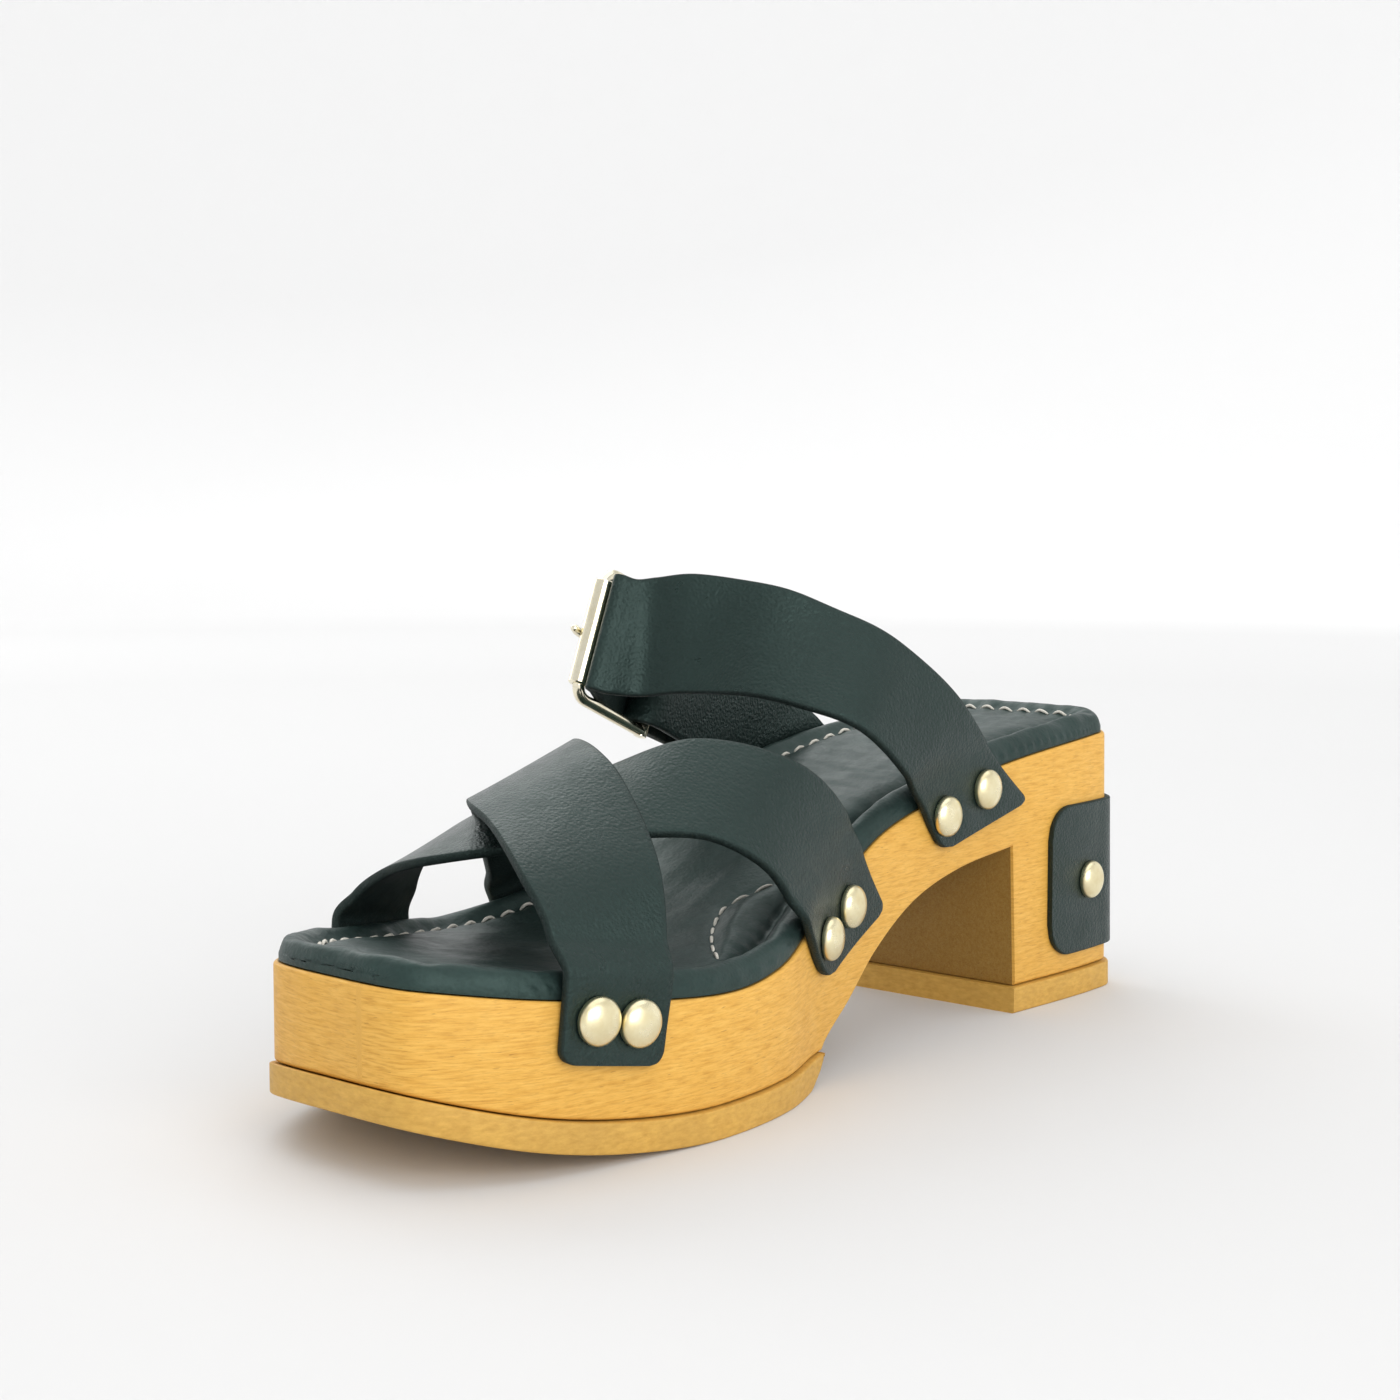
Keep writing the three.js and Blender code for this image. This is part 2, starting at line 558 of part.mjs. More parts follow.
const buckle = new THREE.Group();
buckle.applyMatrix4(buckleMatrix);
buckle.add(
  meshOf("buckle_frame", buckleFrame(), STEEL),
  meshOf("buckle_roller", buckleRoller(), STEEL),
  meshOf("buckle_prong", buckleProng(), STEEL),
);
clog.add(buckle);

// Stand the part on the floor with the middle of its box over the origin.
clog.updateMatrixWorld(true);
const box = new THREE.Box3().setFromObject(clog, true);
clog.position.set(-(box.min.x + box.max.x) / 2, -(box.min.y + box.max.y) / 2, -box.min.z);

const part = new THREE.Group();
part.add(clog);
export default part;
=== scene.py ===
"""Looks for a right-foot wooden clog: carved sole, padded footbed, leather straps, buckle and studs.

Drawing units are millimetres in the part's drawing frame (+Z up, toe towards -Y, inner side towards +X);
metres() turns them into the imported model's frame.
"""

import math

import bmesh
import bpy
import numpy as np
from mathutils import Matrix, Vector


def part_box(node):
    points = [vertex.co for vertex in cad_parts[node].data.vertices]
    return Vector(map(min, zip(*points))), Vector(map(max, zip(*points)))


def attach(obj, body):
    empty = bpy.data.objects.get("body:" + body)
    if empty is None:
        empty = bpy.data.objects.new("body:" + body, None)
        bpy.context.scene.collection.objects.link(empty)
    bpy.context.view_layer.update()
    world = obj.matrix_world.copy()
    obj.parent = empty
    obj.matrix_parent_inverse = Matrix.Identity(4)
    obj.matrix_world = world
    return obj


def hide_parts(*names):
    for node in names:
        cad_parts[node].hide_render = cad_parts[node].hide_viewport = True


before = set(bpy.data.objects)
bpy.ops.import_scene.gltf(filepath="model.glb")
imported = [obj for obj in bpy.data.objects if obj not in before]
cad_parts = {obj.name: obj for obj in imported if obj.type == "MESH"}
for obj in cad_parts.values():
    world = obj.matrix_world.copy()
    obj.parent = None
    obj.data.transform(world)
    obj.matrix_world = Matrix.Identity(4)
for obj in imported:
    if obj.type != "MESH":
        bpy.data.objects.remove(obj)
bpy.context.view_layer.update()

# ---- Driving dimensions, as in the part's source ----
GAP = 0.3
LEATHER = 2.0
SOLE_THICK = 6.2
SOLE_PROUD = 1.0
TOE_SPRING = 11.3
SPRING_FROM = -55
TOE_Y = -120
HEEL_BREAST_Y = 73.2
CUSHION_INSET = 1
CUSHION_RISE = 5.2
PATCH_LEATHER = 1.4
GRIP_RISE = 7
STUD_RADIUS = 4.7
STUD_DOME = 2.2
BAR_RADIUS = 1.3
FRAME_HALF_WIDTH = 15
ROLLER_X = 27
ROLLER_RADIUS = 2.1
ROLLER_BORE = 1.37
ROLLER_LENGTH = 25
STRAP_HALF_WIDTH = 13.3
LOOP_BORE = 1.6
LOOP_THICK = 1.7
PATCH_FRONT_Y = 86.5
PATCH_LOW = 11.5
PATCH_HIGH = 48
PATCH_CORNER = 8
ARCH_FROM_Y = -8.5
FAR = 200  # past either end of the sole

OUTLINE = [
    (-23.7, -110.4), (-16.4, -116.8), (-7, -119.8), (4, -120.8), (15.2, -121.2), (22.9, -119.3),
    (29.5, -112.1), (36.2, -100.8), (41.4, -76.5), (43.9, -55), (41.2, -32.5), (32.3, -9),
    (28.6, 12), (27.4, 40), (27.6, 70), (28.2, 95), (27.8, 108), (26.6, 115.5),
    (21, 120.4), (10, 121.4), (-6, 121.4), (-17, 120.4), (-23.2, 116), (-26, 107), (-29.7, 85.6), (-32.6, 60), (-34, 30), (-38.2, 0), (-41.2, -30.4),
    (-42.3, -54), (-37.8, -80.1), (-31.2, -99.3),
]
TOP_LINE = [
    (-124, 37.2), (-95, 32.7), (-70, 29.3), (-45, 28.2), (-20, 32.7), (0, 40.4), (20, 49.6),
    (40, 54.8), (60, 59.1), (85, 62.3), (124, 65.4),
]
ARCH_LINE = [
    (-17, 0), (-10.7, 3.5), (-8.5, 6.7), (4, 14.2), (16, 23.6), (31.7, 32.7), (50, 37.8),
    (HEEL_BREAST_Y, 40.6),
]
UPPER_CROSS_STRAP = [
    [(38, -96.5, 21.5), (43, -74, 17.8)],
    [(38, -95.4, 32.4), (43, -72, 29.8)],
    [(35, -94.4, 46), (42, -70.3, 40.8)],
    [(26, -92.7, 55.4), (36, -65.8, 54.3)],
    [(10, -85.1, 62.4), (18, -57, 69)],
    [(-2, -79, 64.2), (8, -53, 73.2)],
    [(-14, -68, 62.5), (-8, -43, 73.4)],
    [(-24, -57, 57.5), (-20, -31, 68)],
    [(-34, -45, 48), (-32, -18, 57.5)],
    [(-41, -36, 39), (-39.5, -9, 46)],
    [(-43.6, -32, 31), (-41.4, -5, 35)],
    [(-43.6, -29, 17), (-41.2, -3, 22)],
]
LOWER_CROSS_STRAP = [
    [(33, -9, 22.5), (29.3, 16.4, 33.4)],
    [(38.4, -22, 36), (30, 8.1, 44.5)],
    [(36.5, -31.6, 49.5), (31, 0, 58)],
    [(30, -42, 56.5), (28, -13.4, 68.9)],
    [(22, -54, 58), (14, -30, 74)],
    [(8, -74, 56.3), (0, -44.3, 67.6)],
    [(-4, -84, 54.3), (-11, -57, 62.5)],
    [(-14, -85.5, 52), (-23, -61.5, 56.3)],
    [(-25, -82.8, 48.3), (-35, -61, 48.8)],
    [(-33, -82, 43.6), (-40, -59.8, 43.2)],
    [(-37.4, -82.6, 38), (-42.2, -59.3, 37)],
    [(-38.4, -83.3, 30), (-43.4, -59, 30)],
    [(-38.4, -83.6, 19.5), (-43.4, -59.5, 18.5)],
]
INSTEP_STRAP = [
    [(30, 41, 43.5), (30, 75, 51.5)],
    [(30, 31, 56), (30, 63, 61)],
    [(31, 24, 63), (29.5, 44, 79.5)],
    [(28.5, 11.7, 73.7), (24, 31, 91)],
    [(19, 3.2, 79), (15.5, 20.5, 98.4)],
    [(4.4, -1.4, 81.2), (3.2, 11.1, 103.8)],
    [(-12, -4.3, 80.7), (-13, 2.3, 106.3)],
    [(-21, -7.4, 79.6), (-22, -1.2, 105.3)],
]
STRAP_IN_BUCKLE = [
    (26.2, -8.2), (28.7, -6.3), (29.4, -4.5), (28.2, -3.1), (26, -2.6), (23.6, -1.5), (19.5, 0.4), (12, 3.2),
    (4, 5.6), (-3, 5.7), (-12, 4.3), (-26, 2), (-42, 0.6),
]
# Studs: name, y, z, side (+1 inner side of the foot, -1 outer side)
STUDS = [
    ("upper_strap_stud_medial_front", -88.5, 28.7, 1),
    ("upper_strap_stud_medial_rear", -79, 26.9, 1),
    ("upper_strap_stud_lateral_front", -22.5, 24.5, -1),
    ("upper_strap_stud_lateral_rear", -11.5, 26.5, -1),
    ("lower_strap_stud_medial_front", -10.4, 31.4, 1),
    ("lower_strap_stud_medial_rear", 0.6, 36.5, 1),
    ("lower_strap_stud_lateral_front", -77.2, 24.5, -1),
    ("lower_strap_stud_lateral_rear", -66.2, 23.5, -1),
    ("instep_strap_stud_medial_front", 40.8, 51.5, 1),
    ("instep_strap_stud_medial_rear", 57.1, 56.1, 1),
    ("buckle_strap_stud_lateral_front", 57, 51, -1),
    ("buckle_strap_stud_lateral_rear", 73, 56, -1),
    ("heel_patch_stud_medial", 104.3, 28.8, 1),
    ("heel_patch_stud_lateral", 104.3, 28.8, -1),
]


# ---- Curves ----
def spline(points, where, closed=False):
    """Centripetal Catmull-Rom curve through points, at parameters counted in points."""
    pts = np.array(points, float)
    if closed:
        ext = np.vstack([pts[-1], pts, pts[0], pts[1]])
        last = len(pts)
    else:
        ext = np.vstack([2 * pts[0] - pts[1], pts, 2 * pts[-1] - pts[-2]])
        last = len(pts) - 1
    where = np.asarray(where, float)
    i = np.clip(np.floor(where).astype(int), 0, last - 1)
    u = (where - i)[..., None]
    p0, p1, p2, p3 = ext[i], ext[i + 1], ext[i + 2], ext[i + 3]
    d0, d1, d2 = (np.maximum(np.linalg.norm(b - a, axis=-1, keepdims=True), 1e-9) ** 0.5
                  for a, b in ((p0, p1), (p1, p2), (p2, p3)))
    t1 = ((p1 - p0) / d0 - (p2 - p0) / (d0 + d1) + (p2 - p1) / d1) * d1
    t2 = ((p2 - p1) / d1 - (p3 - p1) / (d1 + d2) + (p3 - p2) / d2) * d1
    c2 = -3 * p1 + 3 * p2 - 2 * t1 - t2
    c3 = 2 * p1 - 2 * p2 + t1 + t2
    return p1 + t1 * u + c2 * u**2 + c3 * u**3


def smoothstep(value, low, high):
    t = np.clip((value - low) / (high - low), 0, 1)
    return t * t * (3 - 2 * t)


def unit(vectors):
    return vectors / np.maximum(np.linalg.norm(vectors, axis=-1, keepdims=True), 1e-9)


def run_along(path):
    """Distance along a path, at each of its points."""
    return np.concatenate([[0], np.cumsum(np.linalg.norm(np.diff(path, axis=0), axis=1))])


RING = spline(OUTLINE, np.linspace(0, len(OUTLINE), 900, endpoint=False), closed=True)
RING_TANGENT = unit(np.roll(RING, -1, 0) - np.roll(RING, 1, 0))
RING_NORMAL = np.stack([RING_TANGENT[:, 1], -RING_TANGENT[:, 0]], 1)
TOP = spline(TOP_LINE, np.linspace(0, len(TOP_LINE) - 1, 400))
ARCH = spline(ARCH_LINE, np.linspace(0, len(ARCH_LINE) - 1, 200))

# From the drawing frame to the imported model's: the sole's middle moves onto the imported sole's middle.
SOLE_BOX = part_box("wooden_sole")
DRAWN_CENTRE = (RING.min(0) + RING.max(0)) / 2
HALF_IN_MM = 1000 / 2
SHIFT = np.array([
    (SOLE_BOX[0].x + SOLE_BOX[1].x) * HALF_IN_MM - DRAWN_CENTRE[0],
    (SOLE_BOX[0].y + SOLE_BOX[1].y) * HALF_IN_MM - DRAWN_CENTRE[1],
    0,
])


def metres(points):
    return (np.asarray(points, float) + SHIFT) / 1000


def wood_top(y):
    """Height of the wood's upper face."""
    return np.interp(y, TOP[:, 0], TOP[:, 1])


def arch(y):
    """Height of the open arch between the forefoot and the heel block."""
    return np.interp(y, ARCH[:, 0], ARCH[:, 1])


def spring(y):
    """How far the toe rises off the floor."""
    return np.where(y < SPRING_FROM, TOE_SPRING * ((SPRING_FROM - y) / (SPRING_FROM - TOE_Y)) ** 2, 0.0)


def side_line(side, distance=0.0):
    """One side of the outline moved outward: points sorted along y, with their outward normals."""
    moved = RING + RING_NORMAL * distance
    toe, heel = int(np.argmin(moved[:, 1])), int(np.argmax(moved[:, 1]))
    rolled = np.roll(np.arange(len(RING)), -toe)
    span = (heel - toe) % len(RING)
    picked = rolled[: span + 1] if side > 0 else rolled[span:]
    order = picked[np.argsort(moved[picked, 1])]
    return moved[order], RING_NORMAL[order]


def both_sides(distance):
    """Both sides of the moved outline, and the lowest and highest y that both of them reach."""
    right, left = side_line(1, distance), side_line(-1, distance)
    return right, left, max(right[0][0, 1], left[0][0, 1]), min(right[0][-1, 1], left[0][-1, 1])


MEDIAL, LATERAL = side_line(1), side_line(-1)


def wall(y, side):
    """Distance of the sole's side from the middle plane."""
    line = MEDIAL if side > 0 else LATERAL
    return side * np.interp(y, line[0][:, 1], line[0][:, 0])


# ---- Meshes ----
def add_object(name, data):
    thing = bpy.data.objects.new(name, data)
    bpy.context.scene.collection.objects.link(thing)
    return thing


def make_object(name, vertices, faces, materials, face_slots=None, angle=40, attributes=None):
    mesh = bpy.data.meshes.new(name)
    mesh.from_pydata(metres(vertices).tolist(), [], [tuple(int(i) for i in f) for f in faces])
    mesh.validate()
    for material in materials:
        mesh.materials.append(material)
    if face_slots is not None and len(face_slots) == len(mesh.polygons):
        mesh.polygons.foreach_set("material_index", np.asarray(face_slots, np.int32))
    for key, values in (attributes or {}).items():
        layer = mesh.attributes.new(key, "FLOAT", "POINT")
        layer.data.foreach_set("value", np.asarray(values, np.float32))
    bm = bmesh.new()
    bm.from_mesh(mesh)
    bmesh.ops.recalc_face_normals(bm, faces=bm.faces)
    bm.to_mesh(mesh)
    bm.free()
    mesh.polygons.foreach_set("use_smooth", np.ones(len(mesh.polygons), bool))
    if angle < 180:
        mesh.set_sharp_from_angle(angle=math.radians(angle))
    return add_object(name, mesh)


def quads(rows, columns, wrap_rows=False, wrap_columns=False):
    """Faces of a grid of points counted row by row, joined end to end where it wraps."""
    faces = []
    for i in range(rows if wrap_rows else rows - 1):
        a, b = i * columns, (i + 1) % rows * columns
        for j in range(columns if wrap_columns else columns - 1):
            k = (j + 1) % columns
            faces.append((a + j, a + k, b + k, b + j))
    return faces


def place(piece, slot, *nodes, body="clog"):
    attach(piece, body)
    if nodes:
        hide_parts(*nodes)


def slab(distance, y_from, y_to, bottom, top, radius):
    """A layer of the sole: the outline at a distance, between two heights that follow y, with round rims.

    Returns vertices, faces, material slots (0 walls, 1 flat faces) and point attributes for the wood grain.
    """
    right, left, low, high = both_sides(distance)
    rows = np.concatenate([right[0][::2, 1], left[0][1::2, 1], [y_from, y_to]])
    rows = np.unique(np.round(rows[(rows >= max(y_from, low)) & (rows <= min(y_to, high))], 2))
    rings = []
    for line in (right, left):
        x = np.interp(rows, line[0][:, 1], line[0][:, 0])
        normal = np.stack([np.interp(rows, line[0][:, 1], line[1][:, k]) for k in (0, 1)], 1)
        rings.append((np.stack([x, rows], 1), unit(normal)))
    loop = np.vstack([rings[0][0], rings[1][0][::-1]])
    normal = np.vstack([rings[0][1], rings[1][1][::-1]])
    steps = 4
    turns = [math.pi / 2 * k / steps for k in range(steps + 1)]
    layers = [(radius * (1 - math.sin(turn)), bottom, radius * (1 - math.cos(turn))) for turn in turns]
    layers += [(radius * (1 - math.cos(turn)), top, -radius * (1 - math.sin(turn))) for turn in turns]
    vertices = []
    for inset, height, rise in layers:
        flat = loop - normal * inset
        vertices.append(np.column_stack([flat, height(flat[:, 1]) + rise]))
    count, n = len(loop), len(rows)
    faces = quads(len(layers), count, wrap_columns=True)
    for base in (0, (len(layers) - 1) * count):
        faces += [(base + j, base + j + 1, base + count - 2 - j, base + count - 1 - j) for j in range(n - 1)]
    caps = 2 * (n - 1)
    slots = [0] * (len(faces) - caps) + [1] * caps
    everything = np.vstack(vertices)
    extra = {"run": np.tile(run_along(loop), len(layers)) / 1000, "height": everything[:, 2] / 1000}
    return everything, faces, slots, extra


EDGE_BULGE = 0.55  # of half the thickness
DIP_DEPTH = 0.45
DIP_FLAT = 3.6
DIP_SPREAD = 7.0
DIP_REACH = 6


def band(stations, thickness, ends=(0, 0), along=220, across=26, corners=(3, 3), flip=False,
         hold_reach=None, studs=(), wave=None):
    """A leather band between two edges, with round cut edges; stations give its outer face.

    ends: which side of the sole each end lies against. corners: corner radius at each end.
    hold_reach: gap between the wood and that face. studs: base and normal of each stud that dents the band.
    wave: middle, reach, height and wavelength of a soft wave along the band, and the run where it fades out.
    Returns vertices, faces and material slots (0 grain side, 1 cut edge, 2 flesh side).
    """
    count = len(stations) - 1
    tight = np.linspace(0, 1, along)
    extra = np.linspace(0, 0.04, 14)
    s = np.unique(np.concatenate([tight, extra, 1 - extra]))
    front = spline([a for a, _ in stations], s * count)
    rear = spline([b for _, b in stations], s * count)
    width = np.linalg.norm(rear - front, axis=1)
    middle = (front + rear) / 2
    run = run_along(middle)
    trim = np.zeros(len(s))
    for distance, corner in ((run, corners[0]), (run[-1] - run, corners[1])):
        near = np.clip(corner - distance, 0, corner)
        trim = np.maximum(trim, corner - np.sqrt(np.maximum(corner**2 - near**2, 0)))
    start, stop = trim / width, 1 - trim / width
    reach = GAP + thickness if hold_reach is None else hold_reach

    def face_at(w):
        point = front + (rear - front) * w[:, None]
        for side, near in ((ends[0], s < 0.4), (ends[1], s > 0.5)):
            if side:
                rise = point[:, 2] - wood_top(point[:, 1]) - CUSHION_RISE
                grip = np.where(near, 1 - smoothstep(rise, 0, GRIP_RISE), 0)
                snug = side * (wall(point[:, 1], side) + reach)
                point[:, 0] += grip * (snug - point[:, 0])
        return point

    lanes = np.linspace(0, 1, across)
    grid = np.stack([face_at(start + (stop - start) * lane) for lane in lanes], 1)
    ds = np.gradient(grid, axis=0)
    dw = np.gradient(grid, axis=1)
    normal = unit(np.cross(ds, dw))
    # The normal is turned towards the foot, whose middle is taken as a point over the sole.
    sample = grid[len(s) // 2, across // 2]
    foot = np.array([0, sample[1] + 20, 30])
    if (normal[len(s) // 2, across // 2] @ (sample - foot) > 0) != flip:
        normal = -normal
    outward = -normal
    for stud_at, stud_normal in studs:
        offset = grid - stud_at
        depth = offset @ stud_normal
        flat = np.linalg.norm(offset - depth[..., None] * stud_normal, axis=-1)
        dip = DIP_DEPTH * np.exp(-np.maximum(flat - DIP_FLAT, 0) ** 2 / DIP_SPREAD)
        dip = dip * (np.abs(depth) < DIP_REACH)
        grid = grid - outward * dip[..., None]
    if wave:
        wave_at, spread, height, wavelength, fade_from, fade_to = wave
        past = run - wave_at
        lift = height * np.exp(-(past / spread) ** 2) * np.cos(2 * math.pi * past / wavelength)
        lift = lift * (1 - smoothstep(run, fade_from, fade_to))
        grid = grid + outward * (lift[:, None] * np.linspace(0.7, 0.9, across)[None])[..., None]
    across_dir = unit(dw)
    inner = grid + normal * thickness
    half = thickness / 2

    def cut_edge(lane, sign):
        """A round edge, from the outer face inward (sign 1) or back out again (sign -1)."""
        points = []
        for turn in np.linspace(0, math.pi, 7)[1:-1]:
            bulge = half * EDGE_BULGE * math.sin(turn)
            depth = half * (1 - sign * math.cos(turn))
            points.append((grid[:, lane] + sign * across_dir[:, lane] * bulge + normal[:, lane] * depth, 1))
        return points

    profile = [(grid[:, j], 0) for j in range(across)] + cut_edge(-1, 1)
    profile += [(inner[:, j], 2) for j in reversed(range(across))] + cut_edge(0, -1)
    loops = np.stack([p for p, _ in profile], 1)
    kinds = [k for _, k in profile]
    rows, around = loops.shape[:2]
    faces = quads(rows, around, wrap_columns=True)
    faces += [[i * around + j for j in range(around)] for i in (0, rows - 1)]
    ring = [1 if 1 in pair else pair[0] for pair in zip(kinds, kinds[1:] + kinds[:1])]
    return loops.reshape(-1, 3), faces, ring * (rows - 1) + [1, 1]


def sweep(path, radii, sides):
    """A round bar along a path of points, with a radius at each point."""
    path = np.asarray(path, float)
    radii = np.broadcast_to(np.asarray(radii, float), (len(path),))
    tangent = unit(np.gradient(path, axis=0))
    up = np.array([0.0, 0.0, 1.0]) if abs(tangent[0][2]) < 0.9 else np.array([0.0, 1.0, 0.0])
    vertices = []
    side = unit(np.cross(up, tangent[0]))
    for point, direction, radius in zip(path, tangent, radii):
        side = unit(side - direction * (side @ direction))
        other = np.cross(direction, side)
        for k in range(sides):
            turn = 2 * math.pi * k / sides
            vertices.append(point + radius * (math.cos(turn) * side + math.sin(turn) * other))
    faces = quads(len(path), sides, wrap_columns=True)
    faces += [[i * sides + k for k in range(sides)] for i in (0, len(path) - 1)]
    return np.array(vertices), faces


def lathe(profile, sides=40, closed=True):
    """Points [radius, height] turned round the local Y axis; closed joins the last point to the first."""
    vertices = []
    for k in range(sides):
        turn = 2 * math.pi * k / sides
        for radius, height in profile:
            vertices.append((radius * math.cos(turn), height, radius * math.sin(turn)))
    return np.array(vertices), quads(sides, len(profile), wrap_rows=True, wrap_columns=closed)


def merged(*parts):
    """Several (vertices, faces) pairs as one."""
    vertices, faces, base = [], [], 0
    for part_vertices, part_faces in parts:
        vertices.append(np.asarray(part_vertices, float))
        faces += [[i + base for i in f] for f in part_faces]
        base += len(part_vertices)
    return np.vstack(vertices), faces


def cut(piece, cutters):
    """Cut closed shapes out of a piece and remove them."""
    for cutter in cutters:
        modifier = piece.modifiers.new("cut", "BOOLEAN")
        modifier.operation = "DIFFERENCE"
        modifier.solver = "EXACT"
        modifier.object = cutter
        bpy.context.view_layer.objects.active = piece
        bpy.ops.object.modifier_apply(modifier=modifier.name)
        bpy.data.objects.remove(cutter, do_unlink=True)


# ---- Materials ----
class Shader:
    """A node material with short helpers."""

    def __init__(self, name):
        self.material = bpy.data.materials.new(name)
        self.material.use_nodes = True
        self.tree = self.material.node_tree
        self.surface = self.tree.nodes["Principled BSDF"]
        self.place = self.add("ShaderNodeTexCoord").outputs["Object"]

    def add(self, kind, **settings):
        node = self.tree.nodes.new(kind)
        for key, value in settings.items():
            setattr(node, key, value)
        return node

    def link(self, source, target):
        self.tree.links.new(source, target)

    def feed(self, socket, value):
        """Give a socket a number, a colour or another node's output."""
        if isinstance(value, tuple):
            socket.default_value = (*value, 1)
        elif isinstance(value, (int, float)):
            socket.default_value = value
        else:
            self.link(value, socket)

    def texture(self, kind, scale, stretch=(1, 1, 1), **settings):
        """A texture node at a scale per metre, stretched along the axes."""
        mapping = self.add("ShaderNodeMapping")
        mapping.inputs["Scale"].default_value = [scale * k for k in stretch]
        self.link(self.place, mapping.inputs["Vector"])
        node = self.add(kind, **settings)
        node.inputs["Scale"].default_value = 1
        self.link(mapping.outputs["Vector"], node.inputs["Vector"])
        return node

    def noise(self, scale, stretch=(1, 1, 1), detail=4, roughness=0.55, distortion=0):
        node = self.texture("ShaderNodeTexNoise", scale, stretch)
        for key, value in (("Detail", detail), ("Roughness", roughness), ("Distortion", distortion)):
            node.inputs[key].default_value = value
        return node.outputs["Fac"]

    def cells(self, scale):
        return self.texture("ShaderNodeTexVoronoi", scale, feature="SMOOTH_F1").outputs["Distance"]

    def attribute(self, name):
        return self.add("ShaderNodeAttribute", attribute_name=name).outputs["Fac"]

    def combine(self, kind, inputs, **settings):
        """A node with its first inputs fed; gives its first output."""
        node = self.add(kind, **settings)
        for socket, value in zip(node.inputs, inputs):
            self.feed(socket, value)
        return node.outputs[0]

    def vector(self, x, y, z):
        return self.combine("ShaderNodeCombineXYZ", (x, y, z))

    def ramp(self, value, stops):
        node = self.add("ShaderNodeValToRGB")
        elements = node.color_ramp.elements
        while len(elements) < len(stops):
            elements.new(0.5)
        for element, (position, color) in zip(elements, stops):
            element.position = position
            element.color = (*color, 1) if isinstance(color, tuple) else (color, color, color, 1)
        self.link(value, node.inputs["Fac"])
        return node.outputs["Color"]

    def math(self, operation, a, b):
        return self.combine("ShaderNodeMath", (a, b), operation=operation)

    def mix(self, factor, a, b):
        node = self.add("ShaderNodeMix", data_type="RGBA")
        # A colour mix keeps its factor in socket 0, its colours in 6 and 7 and its result in output 2.
        for index, value in ((0, factor), (6, a), (7, b)):
            self.feed(node.inputs[index], value)
        return node.outputs[2]

    def bump(self, height, strength, distance):
        """Add a bump on top of those already there; distance in metres."""
        node = self.add("ShaderNodeBump")
        node.inputs["Strength"].default_value = strength
        node.inputs["Distance"].default_value = distance
        self.link(height, node.inputs["Height"])
        previous = self.surface.inputs["Normal"].links
        if previous:
            self.link(previous[0].from_socket, node.inputs["Normal"])
        self.link(node.outputs["Normal"], self.surface.inputs["Normal"])

    def set(self, **values):
        """Set inputs of the surface by name, with _ for a space; gives the finished material."""
        for key, value in values.items():
            self.feed(self.surface.inputs[key.replace("_", " ")], value)
        return self.material


def wood_material(name, shade=1.0, along_wall=True):
    """Fine streaky timber; on the walls the grain follows the run along the outline."""
    m = Shader(name)
    if along_wall:
        m.place = m.vector(0.0, m.attribute("run"), m.attribute("height"))
    fine = m.noise(2600, (1, 0.10, 1), detail=4, roughness=0.6)
    grain = m.noise(1300, (1, 0.11, 1), detail=6, roughness=0.65, distortion=0.2)
    broad = m.noise(70, (1, 0.12, 1), detail=4)
    pores = m.noise(3000, (1, 0.12, 1), detail=2, roughness=0.5)

    def tone(*rgb):
        return tuple(k * shade for k in rgb)

    color = m.ramp(grain, [
        (0.25, tone(0.60, 0.30, 0.042)), (0.5, tone(0.745, 0.415, 0.078)), (0.75, tone(0.83, 0.50, 0.112)),
    ])
    color = m.mix(m.ramp(broad, [(0.4, 0.0), (0.75, 0.35)]), color, tone(0.68, 0.355, 0.056))
    color = m.mix(m.ramp(fine, [(0.36, 0.35), (0.52, 0.0)]), color, tone(0.46, 0.215, 0.03))
    color = m.mix(m.ramp(pores, [(0.27, 0.45), (0.34, 0.0)]), color, tone(0.25, 0.11, 0.02))
    rough = m.ramp(grain, [(0.3, 0.58), (0.7, 0.46)])
    m.bump(m.math("ADD", m.math("MULTIPLY", fine, 0.6), pores), 0.3, 0.0002)
    return m.set(Base_Color=color, Roughness=rough, Specular_IOR_Level=0.35)


def outsole_material():
    m = Shader("ochre_outsole")
    layer = m.noise(700, (0.6, 0.6, 1.5), detail=5, roughness=0.6)
    mottled = m.noise(60, detail=4)
    scuff = m.noise(300, (1, 1, 4), detail=6, roughness=0.7)
    color = m.ramp(layer, [(0.3, (0.52, 0.285, 0.046)), (0.7, (0.68, 0.40, 0.080))])
    color = m.mix(m.ramp(mottled, [(0.4, 0.0), (0.75, 0.4)]), color, (0.46, 0.27, 0.06))
    color = m.mix(m.ramp(scuff, [(0.62, 0.0), (0.8, 0.35)]), color, (0.25, 0.14, 0.035))
    m.bump(layer, 0.25, 0.0003)
    return m.set(Base_Color=color, Roughness=m.ramp(scuff, [(0.3, 0.5), (0.8, 0.72)]))


SHEEN_TINT = (0.70, 1.0, 0.92)


